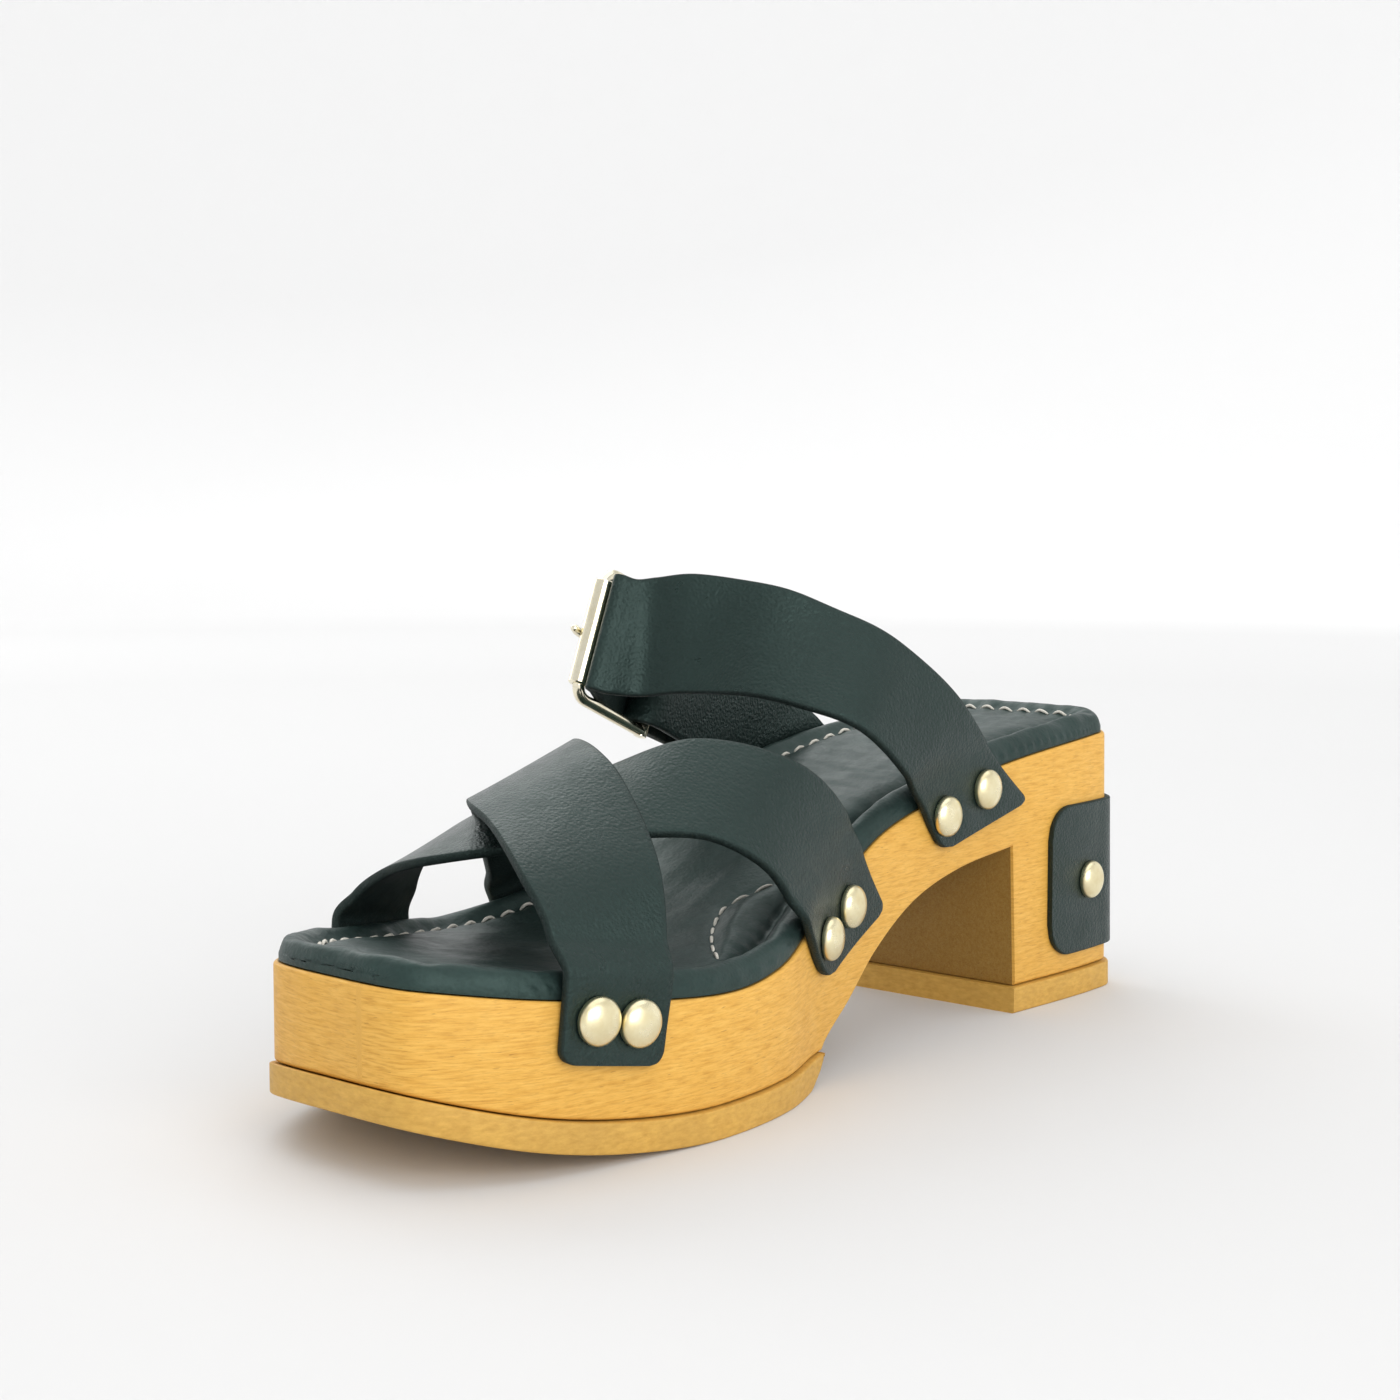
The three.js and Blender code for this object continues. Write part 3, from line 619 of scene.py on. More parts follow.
def leather_material(name, tint, rough, grain_scale, depth, strength, shine=0.45):
    """Dark leather: small pebbles and fibres over broad clouds of colour and soft pull marks."""
    m = Shader(name)
    pebble = m.cells(grain_scale)
    fibres = m.noise(grain_scale * 2.2, detail=4, roughness=0.7)
    cloud = m.noise(45, detail=4, roughness=0.6)
    pull = m.noise(160, detail=5, roughness=0.65, distortion=0.6)
    dark = tuple(k * 0.62 for k in tint)
    light = tuple(min(k * 1.7, 1) for k in tint)
    color = m.ramp(cloud, [(0.3, dark), (0.72, tint)])
    color = m.mix(m.ramp(pebble, [(0.1, 0.0), (0.8, 0.30)]), color, light)
    color = m.mix(m.ramp(pull, [(0.60, 0.0), (0.78, 0.30)]), color, light)
    height = m.math("ADD", pebble, m.math("MULTIPLY", fibres, 0.5))
    m.bump(pull, 0.12, 0.0008)
    m.bump(height, strength, depth)
    roughness = m.ramp(pull, [(0.3, rough - 0.08), (0.75, rough + 0.1)])
    return m.set(Base_Color=color, Roughness=roughness, Specular_IOR_Level=shine, Specular_Tint=SHEEN_TINT)


def thread_material():
    m = Shader("white_thread")
    twist = m.noise(5200, detail=2)
    color = m.ramp(twist, [(0.3, (0.52, 0.49, 0.42)), (0.65, (0.86, 0.83, 0.75))])
    m.bump(twist, 0.6, 0.0001)
    return m.set(Base_Color=color, Roughness=0.8)


def metal_material(name, bright, dull, rough):
    m = Shader(name)
    polish = m.noise(220, detail=5, roughness=0.6)
    scratch = m.noise(2400, (1, 0.08, 1), detail=3, roughness=0.5)
    color = m.ramp(polish, [(0.3, dull), (0.65, bright)])
    roughness = m.math("ADD", m.ramp(polish, [(0.3, rough + 0.07), (0.7, rough - 0.03)]),
                       m.math("MULTIPLY", scratch, 0.06))
    m.bump(polish, 0.03, 0.0003)
    return m.set(Base_Color=color, Metallic=1.0, Roughness=roughness)


WOOD = wood_material("golden_wood")
# The flat faces, mostly the arch's underside and the heel breast, take the same timber darkened to 0.42:
# painted shade where the sole shades its own underside.
WOOD_UNDER = wood_material("underside_painted_shade_wood", shade=0.42, along_wall=False)
SOLE = outsole_material()
GRAIN_SIDE = leather_material("strap_grain_side", (0.0075, 0.0152, 0.0138), 0.34, 1500, 0.0003, 0.6)
CUT_EDGE = leather_material("strap_cut_edge", (0.0060, 0.0100, 0.0095), 0.62, 2400, 0.0003, 0.6)
FLESH_SIDE = leather_material("strap_flesh_side", (0.0080, 0.0145, 0.0140), 0.78, 1900, 0.0003, 0.6)
LINING = leather_material("footbed_leather", (0.0160, 0.0300, 0.0275), 0.46, 1100, 0.00022, 0.35, 0.4)
THREAD = thread_material()
BUCKLE_METAL = metal_material("pale_gold_buckle", (0.93, 0.88, 0.71), (0.80, 0.73, 0.53), 0.12)
STUD_METAL = metal_material("satin_brass_stud", (0.93, 0.85, 0.58), (0.80, 0.69, 0.40), 0.25)
STRAP_SKINS = [GRAIN_SIDE, CUT_EDGE, FLESH_SIDE]


# ---- Wooden sole, outsole and heel lift ----
FLARE_LENGTH = 48
FLARE_HEIGHT = 60
FLARE_SIDE = 0.03
FLARE_BACK = 1.1


def wood_bottom(y):
    """Height of the wood's lower face: over the outsole, then the arch, then over the heel lift."""
    inner = np.where(y < ARCH_FROM_Y, SOLE_THICK + GAP + spring(y), np.maximum(arch(y), SOLE_THICK + GAP))
    return np.where(y > HEEL_BREAST_Y, SOLE_THICK + GAP, inner)


def flare(points):
    """The heel block widens a little towards the floor and the back."""
    points = np.array(points, float)
    share = np.clip((points[:, 1] - HEEL_BREAST_Y) / FLARE_LENGTH, 0, 1)
    share = share * np.clip(1 - points[:, 2] / FLARE_HEIGHT, 0, 1)
    points[:, 0] *= 1 + FLARE_SIDE * share
    points[:, 1] += FLARE_BACK * share
    return points


def build_wood():
    vertices, faces, slots, extra = slab(0, -FAR, FAR, wood_bottom, wood_top, radius=0.8)
    piece = make_object("wooden_sole_carved", flare(vertices), faces, [WOOD, WOOD_UNDER], slots, 32, extra)
    place(piece, "wood", "wooden_sole")


def build_outsole():
    def bottom(y):
        return np.where(y > -17, np.minimum(arch(y), SOLE_THICK - 0.3), spring(y))

    def top(y):
        return spring(y) + SOLE_THICK

    vertices, faces, *_ = slab(SOLE_PROUD, -FAR, -9, bottom, top, radius=0.5)
    piece = make_object("forefoot_outsole_layer", vertices, faces, [SOLE], angle=32)
    place(piece, "outsole", "forefoot_outsole")


def build_heel_lift():
    vertices, faces, *_ = slab(SOLE_PROUD, HEEL_BREAST_Y - SOLE_PROUD, FAR, lambda y: 0 * y,
                               lambda y: 0 * y + SOLE_THICK, radius=0.5)
    piece = make_object("heel_lift_layer", flare(vertices), faces, [SOLE], angle=32)
    place(piece, "outsole", "heel_lift")


build_wood()
build_outsole()
build_heel_lift()


# ---- Studs ----
STUD_SIDES = 48
STUD_LOW = 0.25  # where the dome starts above the stud's base


def stud_frame(name, y, z, side):
    """Where a stud sits on the leather, and the way it points."""
    slope = (wall(y + 3, side) - wall(y - 3, side)) / 6
    normal = np.array([side, -slope, 0.0])
    normal /= np.linalg.norm(normal)
    leather = PATCH_LEATHER if name.startswith("heel_patch") else LEATHER
    base = np.array([side * wall(y, side), y, z]) + normal * (2 * GAP + leather)
    return base, normal


def build_studs():
    r = STUD_RADIUS
    skirt = [(r - 0.7, -0.5), (r - 0.1, -0.45), (r, -0.1), (r, STUD_LOW)]
    dome = [(r * math.cos(a), STUD_LOW + (STUD_DOME + 0.15) * math.sin(a))
            for a in np.linspace(0.12, math.pi / 2 - 0.02, 14)]
    count = len(skirt) + len(dome)
    for name, y, z, side in STUDS:
        vertices, faces = lathe(skirt + dome, STUD_SIDES, closed=False)
        faces.append([k * count + count - 1 for k in range(STUD_SIDES)])
        faces.append([k * count for k in range(STUD_SIDES)])
        base, normal = stud_frame(name, y, z, side)
        turn = Vector((0, 1, 0)).rotation_difference(Vector(normal)).to_matrix()
        vertices = vertices @ np.array(turn).T + base
        piece = make_object(name + "_dome", vertices, faces, [STUD_METAL], angle=50)
        place(piece, "stud_metal", name)


build_studs()


def studs_of(prefix):
    return [stud_frame(*stud) for stud in STUDS if stud[0].startswith(prefix)]


# ---- Crossed straps ----
def build_cross_strap(name, stations, prefix):
    vertices, faces, slots = band(stations, LEATHER, ends=(1, -1), studs=studs_of(prefix))
    piece = make_object(name + "_leather", vertices, faces, STRAP_SKINS, slots, angle=60)
    place(piece, "strap_leather", name)


build_cross_strap("upper_cross_strap", UPPER_CROSS_STRAP, "upper_strap")
build_cross_strap("lower_cross_strap", LOWER_CROSS_STRAP, "lower_strap")


# ---- Buckle frame of reference: origin on the pivot bar, X to the roller, Y up the bar, Z outward ----
BUCKLE_AT = np.array([-35.1, 14.1, 82.6])
TO_ROLLER = unit(np.array([0.083, -0.918, 0.389]))
OUTWARD = unit(np.cross(TO_ROLLER, np.array([-0.026, 0.39, 0.92])))
ALONG_BAR = np.cross(OUTWARD, TO_ROLLER)
BUCKLE_AXES = np.stack([TO_ROLLER, ALONG_BAR, OUTWARD])

PUNCH_SIDES = 24
PUNCH_HALF_DEPTH = 4
PUNCH_AT_Z = 3
PRONG_SLOT = {"x": 8.6, "radius": 2.2, "stretch": 3.4}
SPARE_HOLES_X = (-8, -18, -28)
SPARE_HOLE_RADIUS = 1.7
SLACK_WAVE = (80, 32, 0.5, 24, 106, 115)


def in_buckle(points):
    return np.asarray(points, float) @ BUCKLE_AXES + BUCKLE_AT


def buckle_station(x, z, half=STRAP_HALF_WIDTH):
    return [tuple(in_buckle((x, -half, z))), tuple(in_buckle((x, half, z)))]


def punch(x, radius, stretch=0.0):
    """A round or oblong punch through the strap, along the buckle's outward axis."""
    sides = PUNCH_SIDES
    turns = np.linspace(0, 2 * math.pi, sides, endpoint=False)
    outline = [(x + radius * math.cos(a) + math.copysign(stretch, math.cos(a)), radius * math.sin(a))
               for a in turns]
    low = [(px, py, PUNCH_AT_Z - PUNCH_HALF_DEPTH) for px, py in outline]
    high = [(px, py, PUNCH_AT_Z + PUNCH_HALF_DEPTH) for px, py in outline]
    faces = [[*range(sides)], [*range(sides, 2 * sides)]]
    faces += [(i, (i + 1) % sides, sides + (i + 1) % sides, sides + i) for i in range(sides)]
    return make_object("punch", in_buckle(low + high), faces, [CUT_EDGE])


def build_instep_strap():
    stations = INSTEP_STRAP + [buckle_station(x, z) for x, z in STRAP_IN_BUCKLE]
    vertices, faces, slots = band(stations, LEATHER, ends=(1, 0), along=420, corners=(3, 11),
                                  studs=studs_of("instep_strap"), wave=SLACK_WAVE)
    piece = make_object("instep_strap_leather", vertices, faces, STRAP_SKINS, slots, angle=60)
    cut(piece, [punch(**PRONG_SLOT)] + [punch(x, SPARE_HOLE_RADIUS) for x in SPARE_HOLES_X])
    place(piece, "strap_leather", "instep_strap")


def build_buckle_strap():
    """The short strap: folded end, loop round the bar, then down to the sole; drawn by its foot-side face.

    That face is the grain side, so the two face materials change places.
    """
    outer = LOOP_BORE + LOOP_THICK
    turns = np.radians([128, 90, 45, 0, -45, -88])
    loop = [buckle_station(outer * math.cos(a), outer * math.sin(a)) for a in turns]
    fold = [buckle_station(-17, 2.1), buckle_station(-9, 2.2), buckle_station(-4.5, 2.5)]
    lead = [buckle_station(-8, -outer), buckle_station(-16, -outer)]
    foot = [
        [(-33.3, 38, 58), (-33.7, 48, 82)],
        [(-33.8, 45, 51.5), (-33.5, 64, 72.5)],
        [(-33.8, 50, 47), (-33.3, 77, 62)],
        [(-33.8, 54, 44.5), (-33.3, 85, 53)],
    ]
    vertices, faces, slots = band(fold + loop + lead + foot, LEATHER - GAP, ends=(0, -1), along=360,
                                  corners=(2, 3), flip=True, hold_reach=GAP)
    slots = [{0: 2, 1: 1, 2: 0}[k] for k in slots]
    piece = make_object("buckle_strap_leather", vertices, faces, STRAP_SKINS, slots, angle=60)
    place(piece, "strap_leather", "buckle_strap")


build_instep_strap()
build_buckle_strap()


# ---- Heel patch ----
def build_heel_patch():
    moved = RING + RING_NORMAL * (PATCH_LEATHER + 0.1)
    start, stop = (int(np.argmin(np.hypot(RING[:, 0] - side * wall(PATCH_FRONT_Y, side),
                                          RING[:, 1] - PATCH_FRONT_Y))) for side in (1, -1))
    stations = [[(x, y, PATCH_LOW), (x, y, PATCH_HIGH)] for x, y in moved[start: stop + 1: 3]]
    vertices, faces, slots = band(stations, PATCH_LEATHER, along=300, across=40, flip=True,
                                  corners=(PATCH_CORNER, PATCH_CORNER), studs=studs_of("heel_patch"))
    piece = make_object("heel_patch_leather", flare(vertices), faces, STRAP_SKINS, slots, angle=60)
    place(piece, "strap_leather", "heel_patch")


build_heel_patch()


# ---- Buckle ----
WIRE_RADIUS = BAR_RADIUS + 0.1
ROLLER_OUTER = ROLLER_RADIUS + 0.3
ROLLER_CHAMFER = 0.35
WIRE_CORNER = 4.2
KNOB_RADII = [1.5, 1.55, *[BAR_RADIUS] * 5, 1.55, 1.5]
EYE_RADIUS = 2.45
TONGUE = [(2.2, 0, 0.3), (9, 0, 2.6), (19, 0, 3.9), (27, 0, 3.7), (30.3, 0, 2.9)]
TONGUE_STEPS = 40
TONGUE_TAPER = ([0, 0.85, 0.97, 1], [1.1, 1.05, 0.85, 0.4])


def rounded(path_points, corner, steps=8):
    """A path with its inner points rounded off."""
    pts = [np.array(p, float) for p in path_points]
    out = [pts[0]]
    for before, here, after in zip(pts, pts[1:], pts[2:]):
        a = here + unit(before - here) * corner
        b = here + unit(after - here) * corner
        for t in np.linspace(0, 1, steps):
            out.append((1 - t) ** 2 * a + 2 * t * (1 - t) * here + t * t * b)
    out.append(pts[-1])
    return out


def build_buckle():
    half = FRAME_HALF_WIDTH
    corners = [(-0.2, -half, 0), (ROLLER_X, -half, 0), (ROLLER_X, half, 0), (-0.2, half, 0)]
    bar = [(0, y, 0) for y in np.linspace(-half - 1.2, half + 1.2, len(KNOB_RADII))]
    wire = sweep(rounded(corners, WIRE_CORNER), WIRE_RADIUS, 20)
    vertices, faces = merged(wire, sweep(bar, KNOB_RADII, 20))
    piece = make_object("buckle_frame_wire", in_buckle(vertices), faces, [BUCKLE_METAL], angle=50)
    place(piece, "buckle_metal", "buckle_frame", body="buckle")

    end, r, chamfer = ROLLER_LENGTH / 2, ROLLER_OUTER, ROLLER_CHAMFER
    vertices, faces = lathe([
        (ROLLER_BORE, -end), (r - chamfer, -end), (r, -end + chamfer),
        (r, end - chamfer), (r - chamfer, end), (ROLLER_BORE, end),
    ])
    vertices = vertices + np.array([ROLLER_X, 0, 0])
    piece = make_object("buckle_roller_tube", in_buckle(vertices), faces, [BUCKLE_METAL], angle=40)
    place(piece, "buckle_metal", "buckle_roller", body="roller")

    turns = np.linspace(math.radians(70), math.radians(400), 30)
    eye = [(EYE_RADIUS * math.cos(a), 0, EYE_RADIUS * math.sin(a)) for a in turns]
    tongue = spline(TONGUE, np.linspace(0, len(TONGUE) - 1, TONGUE_STEPS))
    radii = np.interp(np.linspace(0, 1, TONGUE_STEPS), *TONGUE_TAPER)
    vertices, faces = merged(sweep(eye, 1.0, 14), sweep(tongue, radii, 14))
    piece = make_object("buckle_prong_wire", in_buckle(vertices), faces, [BUCKLE_METAL], angle=50)
    place(piece, "buckle_metal", "buckle_prong", body="prong")


build_buckle()


# ---- Footbed ----
EDGE_RING = RING + RING_NORMAL * -CUSHION_INSET
EDGE_RUN = run_along(EDGE_RING)
SEAM_IN = 8.0
STITCH_PITCH = 5.5
STITCH_RADIUS = 0.38
STITCH_ARCH = 0.5
STITCH_SUNK = 0.05
CLOTH_SETTINGS = {
    "quality": 6,
    "mass": 0.05,
    "tension_stiffness": 8,
    "compression_stiffness": 2,
    "shear_stiffness": 3,
    "bending_stiffness": 0.02,
    "use_pressure": True,
    "uniform_pressure_force": 4,
    "shrink_min": -0.05,
    "vertex_group_mass": "sewn",
}
CLOTH_FRAMES = 20
PUFF_CAP = 1.4
ROLL_APEX = 3.6
CREASE = 1.3
CREASE_LIFT_LATERAL = 1.3
CREASE_LIFT_BACK = 2.3
CREASE_DROP_MEDIAL = 0.9
MIDDLE_PUFF = 0.3
ARCH_SEAM = {"centre": (40, -17), "half": (27.5, 30), "power": 1.35}


def arch_level(x, y):
    """1 on the arch pad's seam, less inside it."""
    (cx, cy), (rx, ry), p = ARCH_SEAM["centre"], ARCH_SEAM["half"], ARCH_SEAM["power"]
    return (np.abs((x - cx) / rx) ** p + np.abs((y - cy) / ry) ** p) ** (1 / p)


def edge_distance(x, y):
    """Distance in from the footbed's edge, and the run along the edge to the nearest point."""
    flat = np.column_stack([np.ravel(x), np.ravel(y)])
    best = np.full(len(flat), 1e9)
    run = np.zeros(len(flat))
    block = 4000
    for begin in range(0, len(flat), block):
        part = slice(begin, begin + block)
        gap = np.linalg.norm(flat[part][:, None] - EDGE_RING[None], axis=2)
        best[part] = gap.min(1)
        run[part] = EDGE_RUN[gap.argmin(1)]
    return best.reshape(np.shape(x)), run.reshape(np.shape(x))


def ripple(x, y, seed, waves=14, reach=(0.05, 0.5), stretch=0.2):
    """Sum of waves with fixed random directions; a small stretch lays the creases along the second axis."""
    rng = np.random.default_rng(seed)
    total = np.zeros(np.shape(x))
    for _ in range(waves):
        fx = rng.uniform(*reach) * rng.choice([-1, 1])
        fy = rng.uniform(*reach) * stretch
        total = total + np.sin(x * fx + y * fy + rng.uniform(0, 6.28))
    return total / math.sqrt(waves)


def cushion(x, y):
    """Height of the leather above the wood: a full rolled rim, a sewn crease and a soft dished middle."""
    d, run = edge_distance(x, y)
    # The crease's height changes round the footbed.
    lateral, back = smoothstep(-x, 0, 16), smoothstep(y, 106, 113)
    medial = smoothstep(x, 6, 16) * smoothstep(y, -66, -50) * (1 - back)
    lift = np.maximum(lateral * (CREASE_LIFT_LATERAL + smoothstep(y, 50, 85)), back * CREASE_LIFT_BACK)
    crease = CREASE + lift - CREASE_DROP_MEDIAL * medial
    # Across the rim: up over the roll, down to the seam, then into the dished middle.
    roll = CUSHION_RISE * np.sqrt(np.clip(1 - ((d - ROLL_APEX) / ROLL_APEX) ** 2, 0, 1))
    past_apex = np.clip((d - ROLL_APEX) / (SEAM_IN - ROLL_APEX), 0, 1)
    fall = crease + (CUSHION_RISE - crease) * (1 + np.cos(math.pi * past_apex)) / 2
    rim = np.where(d < ROLL_APEX, roll, fall)
    rise, dish = 1 - np.exp(-(d - SEAM_IN) / 2.0), 1 - np.exp(-(d - SEAM_IN) / 16)
    height = np.where(d < SEAM_IN, rim, crease + (2.5 - (crease - CREASE) * 0.8) * rise - 0.8 * dish)
    # Gathers between the stitches, shallow wrinkles, and flex creases across the waist.
    pinch = np.cos(2 * math.pi * run / STITCH_PITCH)
    height = height + 0.24 * pinch * np.exp(-np.abs(d - SEAM_IN) / 2.4) * smoothstep(d, 2, 4)
    height = height + 0.06 * ripple(x, y, 5, reach=(0.1, 0.6), stretch=1.0) * smoothstep(d, 1.5, 4)
    inside = smoothstep(d, SEAM_IN + 1, SEAM_IN + 8)
    wrinkles = 0.12 * ripple(x, y, 3) + 0.05 * ripple(x, y, 8, reach=(0.3, 1.4), stretch=0.12)
    height = height + inside * wrinkles
    waist = smoothstep(y, -5, 12) * (1 - smoothstep(y, 48, 66))
    height = height + inside * waist * 0.11 * ripple(y, x, 21, reach=(0.7, 2.0), stretch=0.1)
    # The arch pad, with a groove along its seam.
    level = arch_level(x, y)
    height = height + inside * 1.5 * smoothstep(1 - level, 0.0, 0.22)
    height = height - inside * 0.6 * np.exp(-(((level - 1) * 28) / 1.1) ** 2)
    return height


def surface_z(x, y):
    return wood_top(y) + GAP + cushion(x, y)


def puff(grid, sewn):
    """Blow the leather up between its seams as cloth; gives how far each point moves, in millimetres."""
    rows, columns = sewn.shape
    mesh = bpy.data.meshes.new("cloth_sheet")
    before = metres(grid.reshape(-1, 3))
    mesh.from_pydata(before.tolist(), [], quads(rows, columns))
    sheet = add_object("cloth_sheet", mesh)
    scene = bpy.context.scene
    group = sheet.vertex_groups.new(name="sewn")
    group.add(np.flatnonzero(sewn).tolist(), 1.0, "REPLACE")
    cloth = sheet.modifiers.new("cloth", "CLOTH")
    for key, value in CLOTH_SETTINGS.items():
        setattr(cloth.settings, key, value)
    cloth.settings.effector_weights.gravity = 0
    cloth.collision_settings.use_collision = False
    cloth.point_cache.frame_start, cloth.point_cache.frame_end = 1, CLOTH_FRAMES
    for frame_number in range(1, CLOTH_FRAMES + 1):
        scene.frame_set(frame_number)
    solved = sheet.evaluated_get(bpy.context.evaluated_depsgraph_get()).data
    after = np.empty(rows * columns * 3, np.float32)
    solved.vertices.foreach_get("co", after)
    move = (after.reshape(-1, 3) - before) * 1000
    bpy.data.objects.remove(sheet, do_unlink=True)
    scene.frame_set(1)
    size = np.linalg.norm(move, axis=1, keepdims=True)
    move *= np.minimum(1, PUFF_CAP / np.maximum(size, 1e-9))
    return move.reshape(rows, columns, 3)


def build_footbed():
    """The padded cover on one grid, denser at its edges, with the cloth's move added and its base below."""
    rows, columns = 331, 111
    right, left, low, high = both_sides(-CUSHION_INSET)
    low, high = low + 0.15, high - 0.15
    t = np.linspace(0, math.pi, rows)
    y = low + (high - low) * (0.55 * (1 - np.cos(t)) / 2 + 0.45 * t / math.pi)
    u = np.linspace(0, math.pi, columns)
    share = 0.6 * (1 - np.cos(u)) / 2 + 0.4 * u / math.pi
    x_right = np.interp(y, right[0][:, 1], right[0][:, 0])
    x_left = np.interp(y, left[0][:, 1], left[0][:, 0])
    grid_x = x_left[:, None] + (x_right - x_left)[:, None] * share[None]
    grid_y = np.repeat(y[:, None], columns, 1)
    top = np.stack([grid_x, grid_y, surface_z(grid_x, grid_y)], 2)
    coarse = top[::2, ::2]
    distance, _ = edge_distance(coarse[..., 0], coarse[..., 1])
    level = arch_level(coarse[..., 0], coarse[..., 1])
    on_seam = (np.abs(distance - SEAM_IN) < 0.9) | (np.abs(level - 1) < 0.035) & (distance > SEAM_IN)
    move = puff(coarse, on_seam | (distance < 1.2))
    # Smooth the move, reduce it inside the seam, and carry it from every second point to the full grid.
    for _ in range(6):
        around = sum(np.roll(move, step, axis) for axis in (0, 1) for step in (-1, 1))
        move[1:-1, 1:-1] = (0.4 * move + 0.15 * around)[1:-1, 1:-1]
    move = move * (1 - (1 - MIDDLE_PUFF) * smoothstep(distance, SEAM_IN - 1, SEAM_IN + 1))[..., None]
    for axis in (0, 1):
        steps = np.arange(top.shape[axis]) / 2
        low_step = np.minimum(steps.astype(int), move.shape[axis] - 2)
        share_up = (steps - low_step).reshape([-1 if k == axis else 1 for k in range(3)])
        move = np.take(move, low_step, axis) * (1 - share_up) + np.take(move, low_step + 1, axis) * share_up
    top = (top + move).reshape(-1, 3)
    base = np.stack([grid_x, grid_y, wood_top(grid_y) + GAP], 2).reshape(-1, 3)
    faces = quads(rows, columns)
    count = rows * columns
    faces += [tuple(count + k for k in reversed(f)) for f in faces]
    border = list(range(columns))
    border += [i * columns + columns - 1 for i in range(1, rows)]
    border += [(rows - 1) * columns + j for j in reversed(range(columns - 1))]
    border += [i * columns for i in reversed(range(1, rows - 1))]
    faces += [(a, b, b + count, a + count) for a, b in zip(border, border[1:] + border[:1])]
    piece = make_object("footbed_cushion", np.vstack([top, base]), faces, [LINING], angle=75)
    place(piece, "lining_leather", "footbed_cover", "footbed_foam", "arch_pad")


def stitch_line(path, name):
    """White stitches along a path of [x, y] points lying on the footbed."""
    run = run_along(path)
    radii = STITCH_RADIUS * np.array([0.55, 0.9, 1, 1, 1, 0.9, 0.55])
    arching = STITCH_ARCH * np.sin(np.linspace(0, math.pi, len(radii)))
    parts = []
    for k in range(int(run[-1] // STITCH_PITCH)):
        s = np.linspace(k * STITCH_PITCH + 0.7, (k + 1) * STITCH_PITCH - 0.8, len(radii))
        x, y = np.interp(s, run, path[:, 0]), np.interp(s, run, path[:, 1])
        z = surface_z(x, y) + arching - STITCH_SUNK
        parts.append(sweep(np.column_stack([x, y, z]), radii, 8))
    vertices, faces = merged(*parts)
    place(make_object(name, vertices, faces, [THREAD], angle=180), "lining_leather")


def build_stitching():
    inset = CUSHION_INSET + SEAM_IN - 0.5
    moved = RING - RING_NORMAL * inset
    clear = np.array([np.hypot(*(RING - p).T).min() > inset - 0.05 for p in moved])
    seam = moved[clear]
    # The arch pad's leather covers the rim seam beside it.
    covered = (seam[:, 0] > 0) & (np.abs(seam[:, 1] + 10) < 40)
    after = np.flatnonzero(covered)[-1] + 1
    seam, covered = np.roll(seam, -after, 0), np.roll(covered, -after)
    stitch_line(seam[~covered], "rim_stitching")
    (cx, cy), (rx, ry), p = ARCH_SEAM["centre"], ARCH_SEAM["half"], ARCH_SEAM["power"]
    turns = np.linspace(math.pi * 0.52, math.pi * 1.48, 160)
    c, s = np.cos(turns), np.sin(turns)
    curve = np.column_stack([
        cx + rx * np.sign(c) * np.abs(c) ** (2 / p), cy + ry * np.sign(s) * np.abs(s) ** (2 / p),
    ])
    inside = curve[:, 0] < wall(curve[:, 1], 1) - CUSHION_INSET - SEAM_IN - 0.5
    stitch_line(curve[inside], "arch_stitching")


build_footbed()
build_stitching()


# ---- Stage, lights and camera ----
FLOOR_RADII = (0.05, 0.3, 0.6, 1.0, 1.3, 1.5, 1.7)
# The floor gets more light than the wall, so its paint is darker and both look equally pale.
PAINT_RADII = [0.3, 1.0, 1.5, 1.75, 2.1]
PAINT_TONES = [0.72, 0.70, 0.755, 0.85, 0.905]
PAINT_RIGHT = 0.13  # lighter towards the right, away from the windows


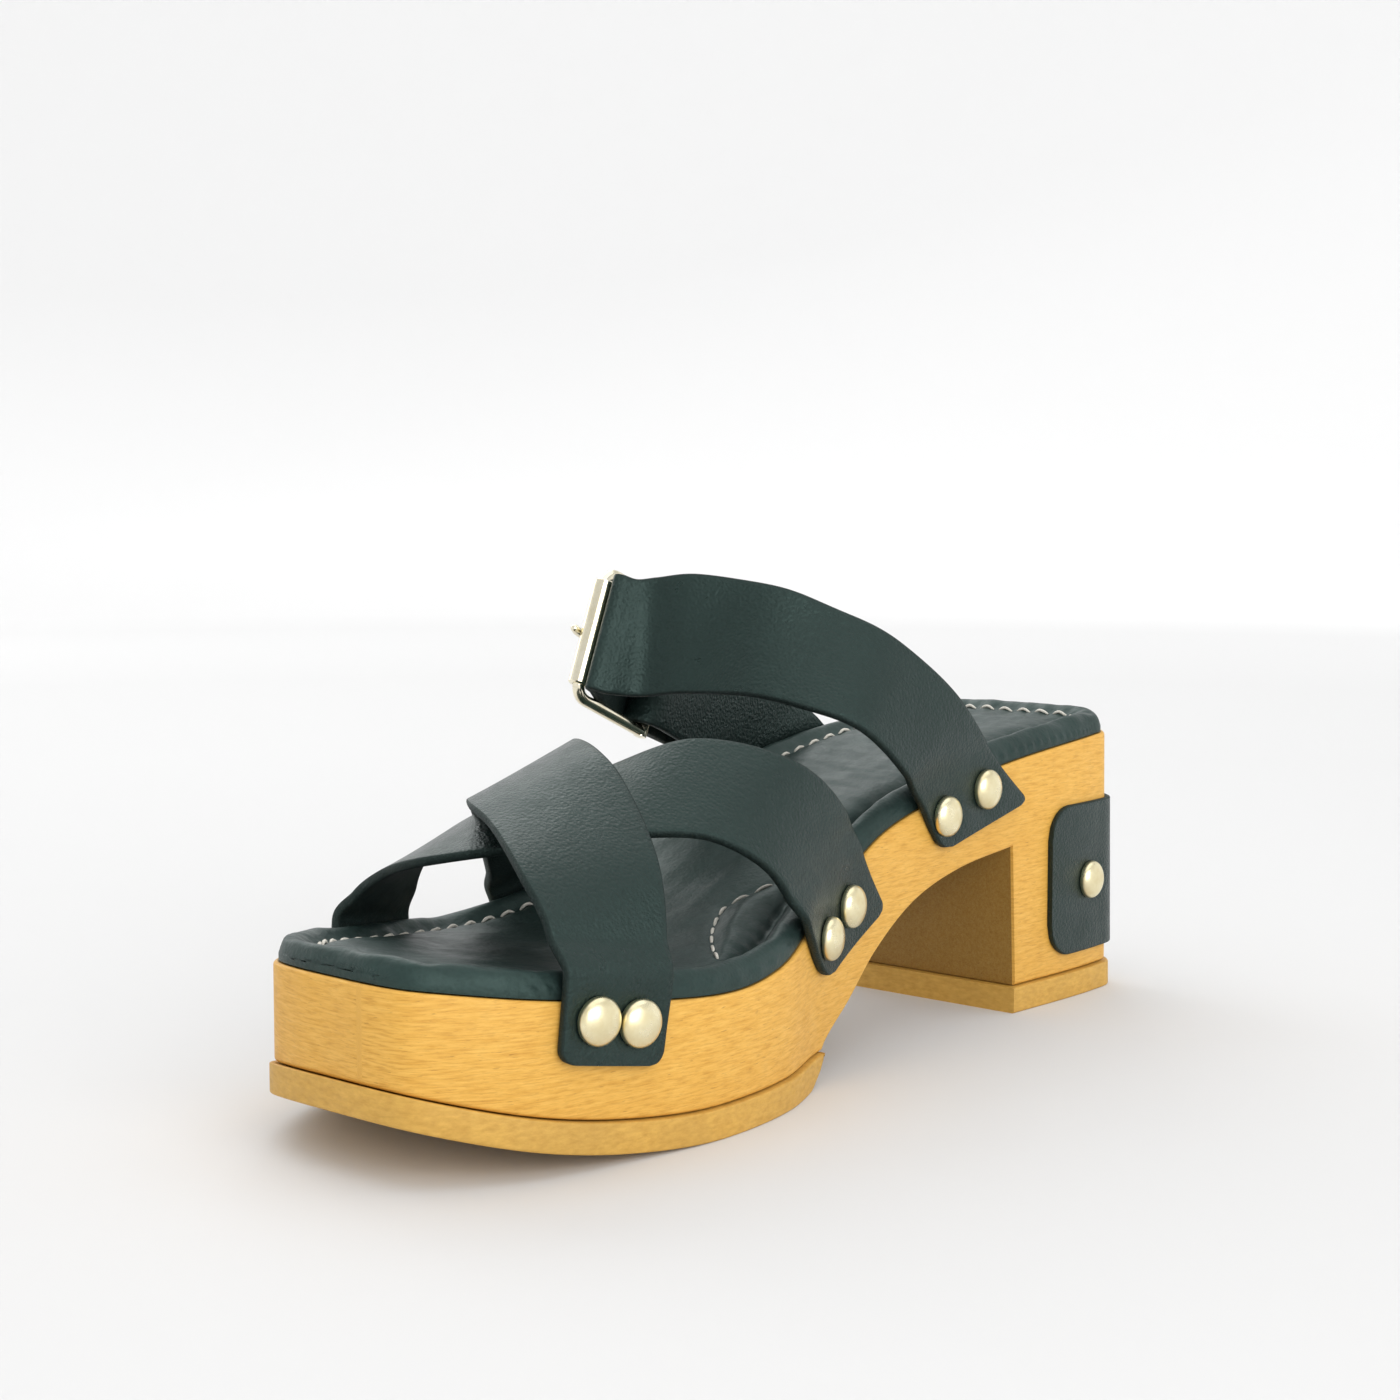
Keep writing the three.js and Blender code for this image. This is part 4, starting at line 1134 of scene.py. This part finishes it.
def build_stage():
    """A round floor that curves up into a low wall on every side."""
    floor_radius, bend, wall_top, sides = FLOOR_RADII[-1], 0.9, 1.5, 96
    profile = [(radius, 0.0) for radius in FLOOR_RADII]
    for turn in np.linspace(0, math.pi / 2, 20)[1:]:
        profile.append((floor_radius + bend * math.sin(turn), bend * (1 - math.cos(turn))))
    profile.append((floor_radius + bend, wall_top))
    vertices = [(0, 0, 0)]
    for radius, height in profile:
        for k in range(sides):
            turn = 2 * math.pi * k / sides
            vertices.append((radius * math.cos(turn), radius * math.sin(turn), height))
    faces = [(0, 1 + k, 1 + (k + 1) % sides) for k in range(sides)]
    faces += [(1 + a, 1 + d, 1 + c, 1 + b) for a, b, c, d in quads(len(profile), sides, wrap_columns=True)]
    mesh = bpy.data.meshes.new("backdrop")
    mesh.from_pydata(vertices, [], faces)
    mesh.polygons.foreach_set("use_smooth", np.ones(len(mesh.polygons), bool))
    radius = np.hypot(*np.array(vertices)[:, :2].T)
    shade = np.interp(radius, PAINT_RADII, PAINT_TONES)
    rightward = np.clip((np.array(vertices) @ np.array([0.76, 0.65, 0])) / 1.2, -1, 1)
    shade *= 1 + PAINT_RIGHT * rightward * smoothstep(radius, 0.4, 1.0) * (1 - smoothstep(radius, 1.7, 2.1))
    mesh.attributes.new("shade", "FLOAT", "POINT").data.foreach_set("value", shade)
    m = Shader("pale_backdrop")
    tone = m.ramp(m.attribute("shade"), [(0.5, (0.5, 0.5, 0.5)), (1.0, (1.0, 1.0, 1.0))])
    mesh.materials.append(m.set(Base_Color=tone, Roughness=0.9, Specular_IOR_Level=0.1))
    backdrop = add_object("backdrop", mesh)


def area_light(name, place_at, target, size, power):
    data = bpy.data.lights.new(name, "AREA")
    data.shape = "RECTANGLE"
    data.size, data.size_y = size
    data.energy = power
    light = add_object(name, data)
    light.location = place_at
    direction = Vector(target) - Vector(place_at)
    light.rotation_euler = direction.to_track_quat("-Z", "Y").to_euler()


WORLD_LIGHT = 0.7
CAMERA_AT = (328.8, -398.7, 128.0)
CAMERA_ANGLES = (40.32, 5.41, 0.22)  # azimuth, elevation, roll
CAMERA_LENS = 60.1


def build_lights():
    area_light("overhead", (0.0, 0.3, 2.4), (0, 0.2, 0), (3.2, 3.2), 20)
    area_light("left_window", (-1.4, 0.1, 0.9), (0, 0, 0.06), (0.9, 1.3), 4.5)
    area_light("back_window", (-1.3, 0.9, 1.35), (0, 0, 0.06), (1.3, 0.9), 6.5)
    area_light("right_fill", (1.45, -0.6, 0.7), (0, 0, 0.04), (1.5, 1.1), 14)
    world = bpy.data.worlds.new("studio")
    world.use_nodes = True
    background = world.node_tree.nodes["Background"]
    background.inputs["Color"].default_value = (1, 1, 1, 1)
    background.inputs["Strength"].default_value = WORLD_LIGHT
    bpy.context.scene.world = world
    bpy.context.scene.view_settings.view_transform = "Standard"


def build_camera():
    azimuth, elevation, roll = (math.radians(angle) for angle in CAMERA_ANGLES)
    level = math.cos(elevation)
    back = Vector((math.sin(azimuth) * level, -math.cos(azimuth) * level, math.sin(elevation)))
    right = Vector((math.cos(azimuth), math.sin(azimuth), 0))
    up = back.cross(right)
    turn = Matrix((right, up, back)).transposed() @ Matrix.Rotation(roll, 3, "Z")
    data = bpy.data.cameras.new("camera")
    data.lens = CAMERA_LENS
    data.sensor_width = 36
    data.clip_start = 0.01
    camera = add_object("camera", data)
    camera.matrix_world = Matrix.Translation(Vector(metres(CAMERA_AT))) @ turn.to_4x4()
    bpy.context.scene.camera = camera


build_stage()
build_lights()
build_camera()
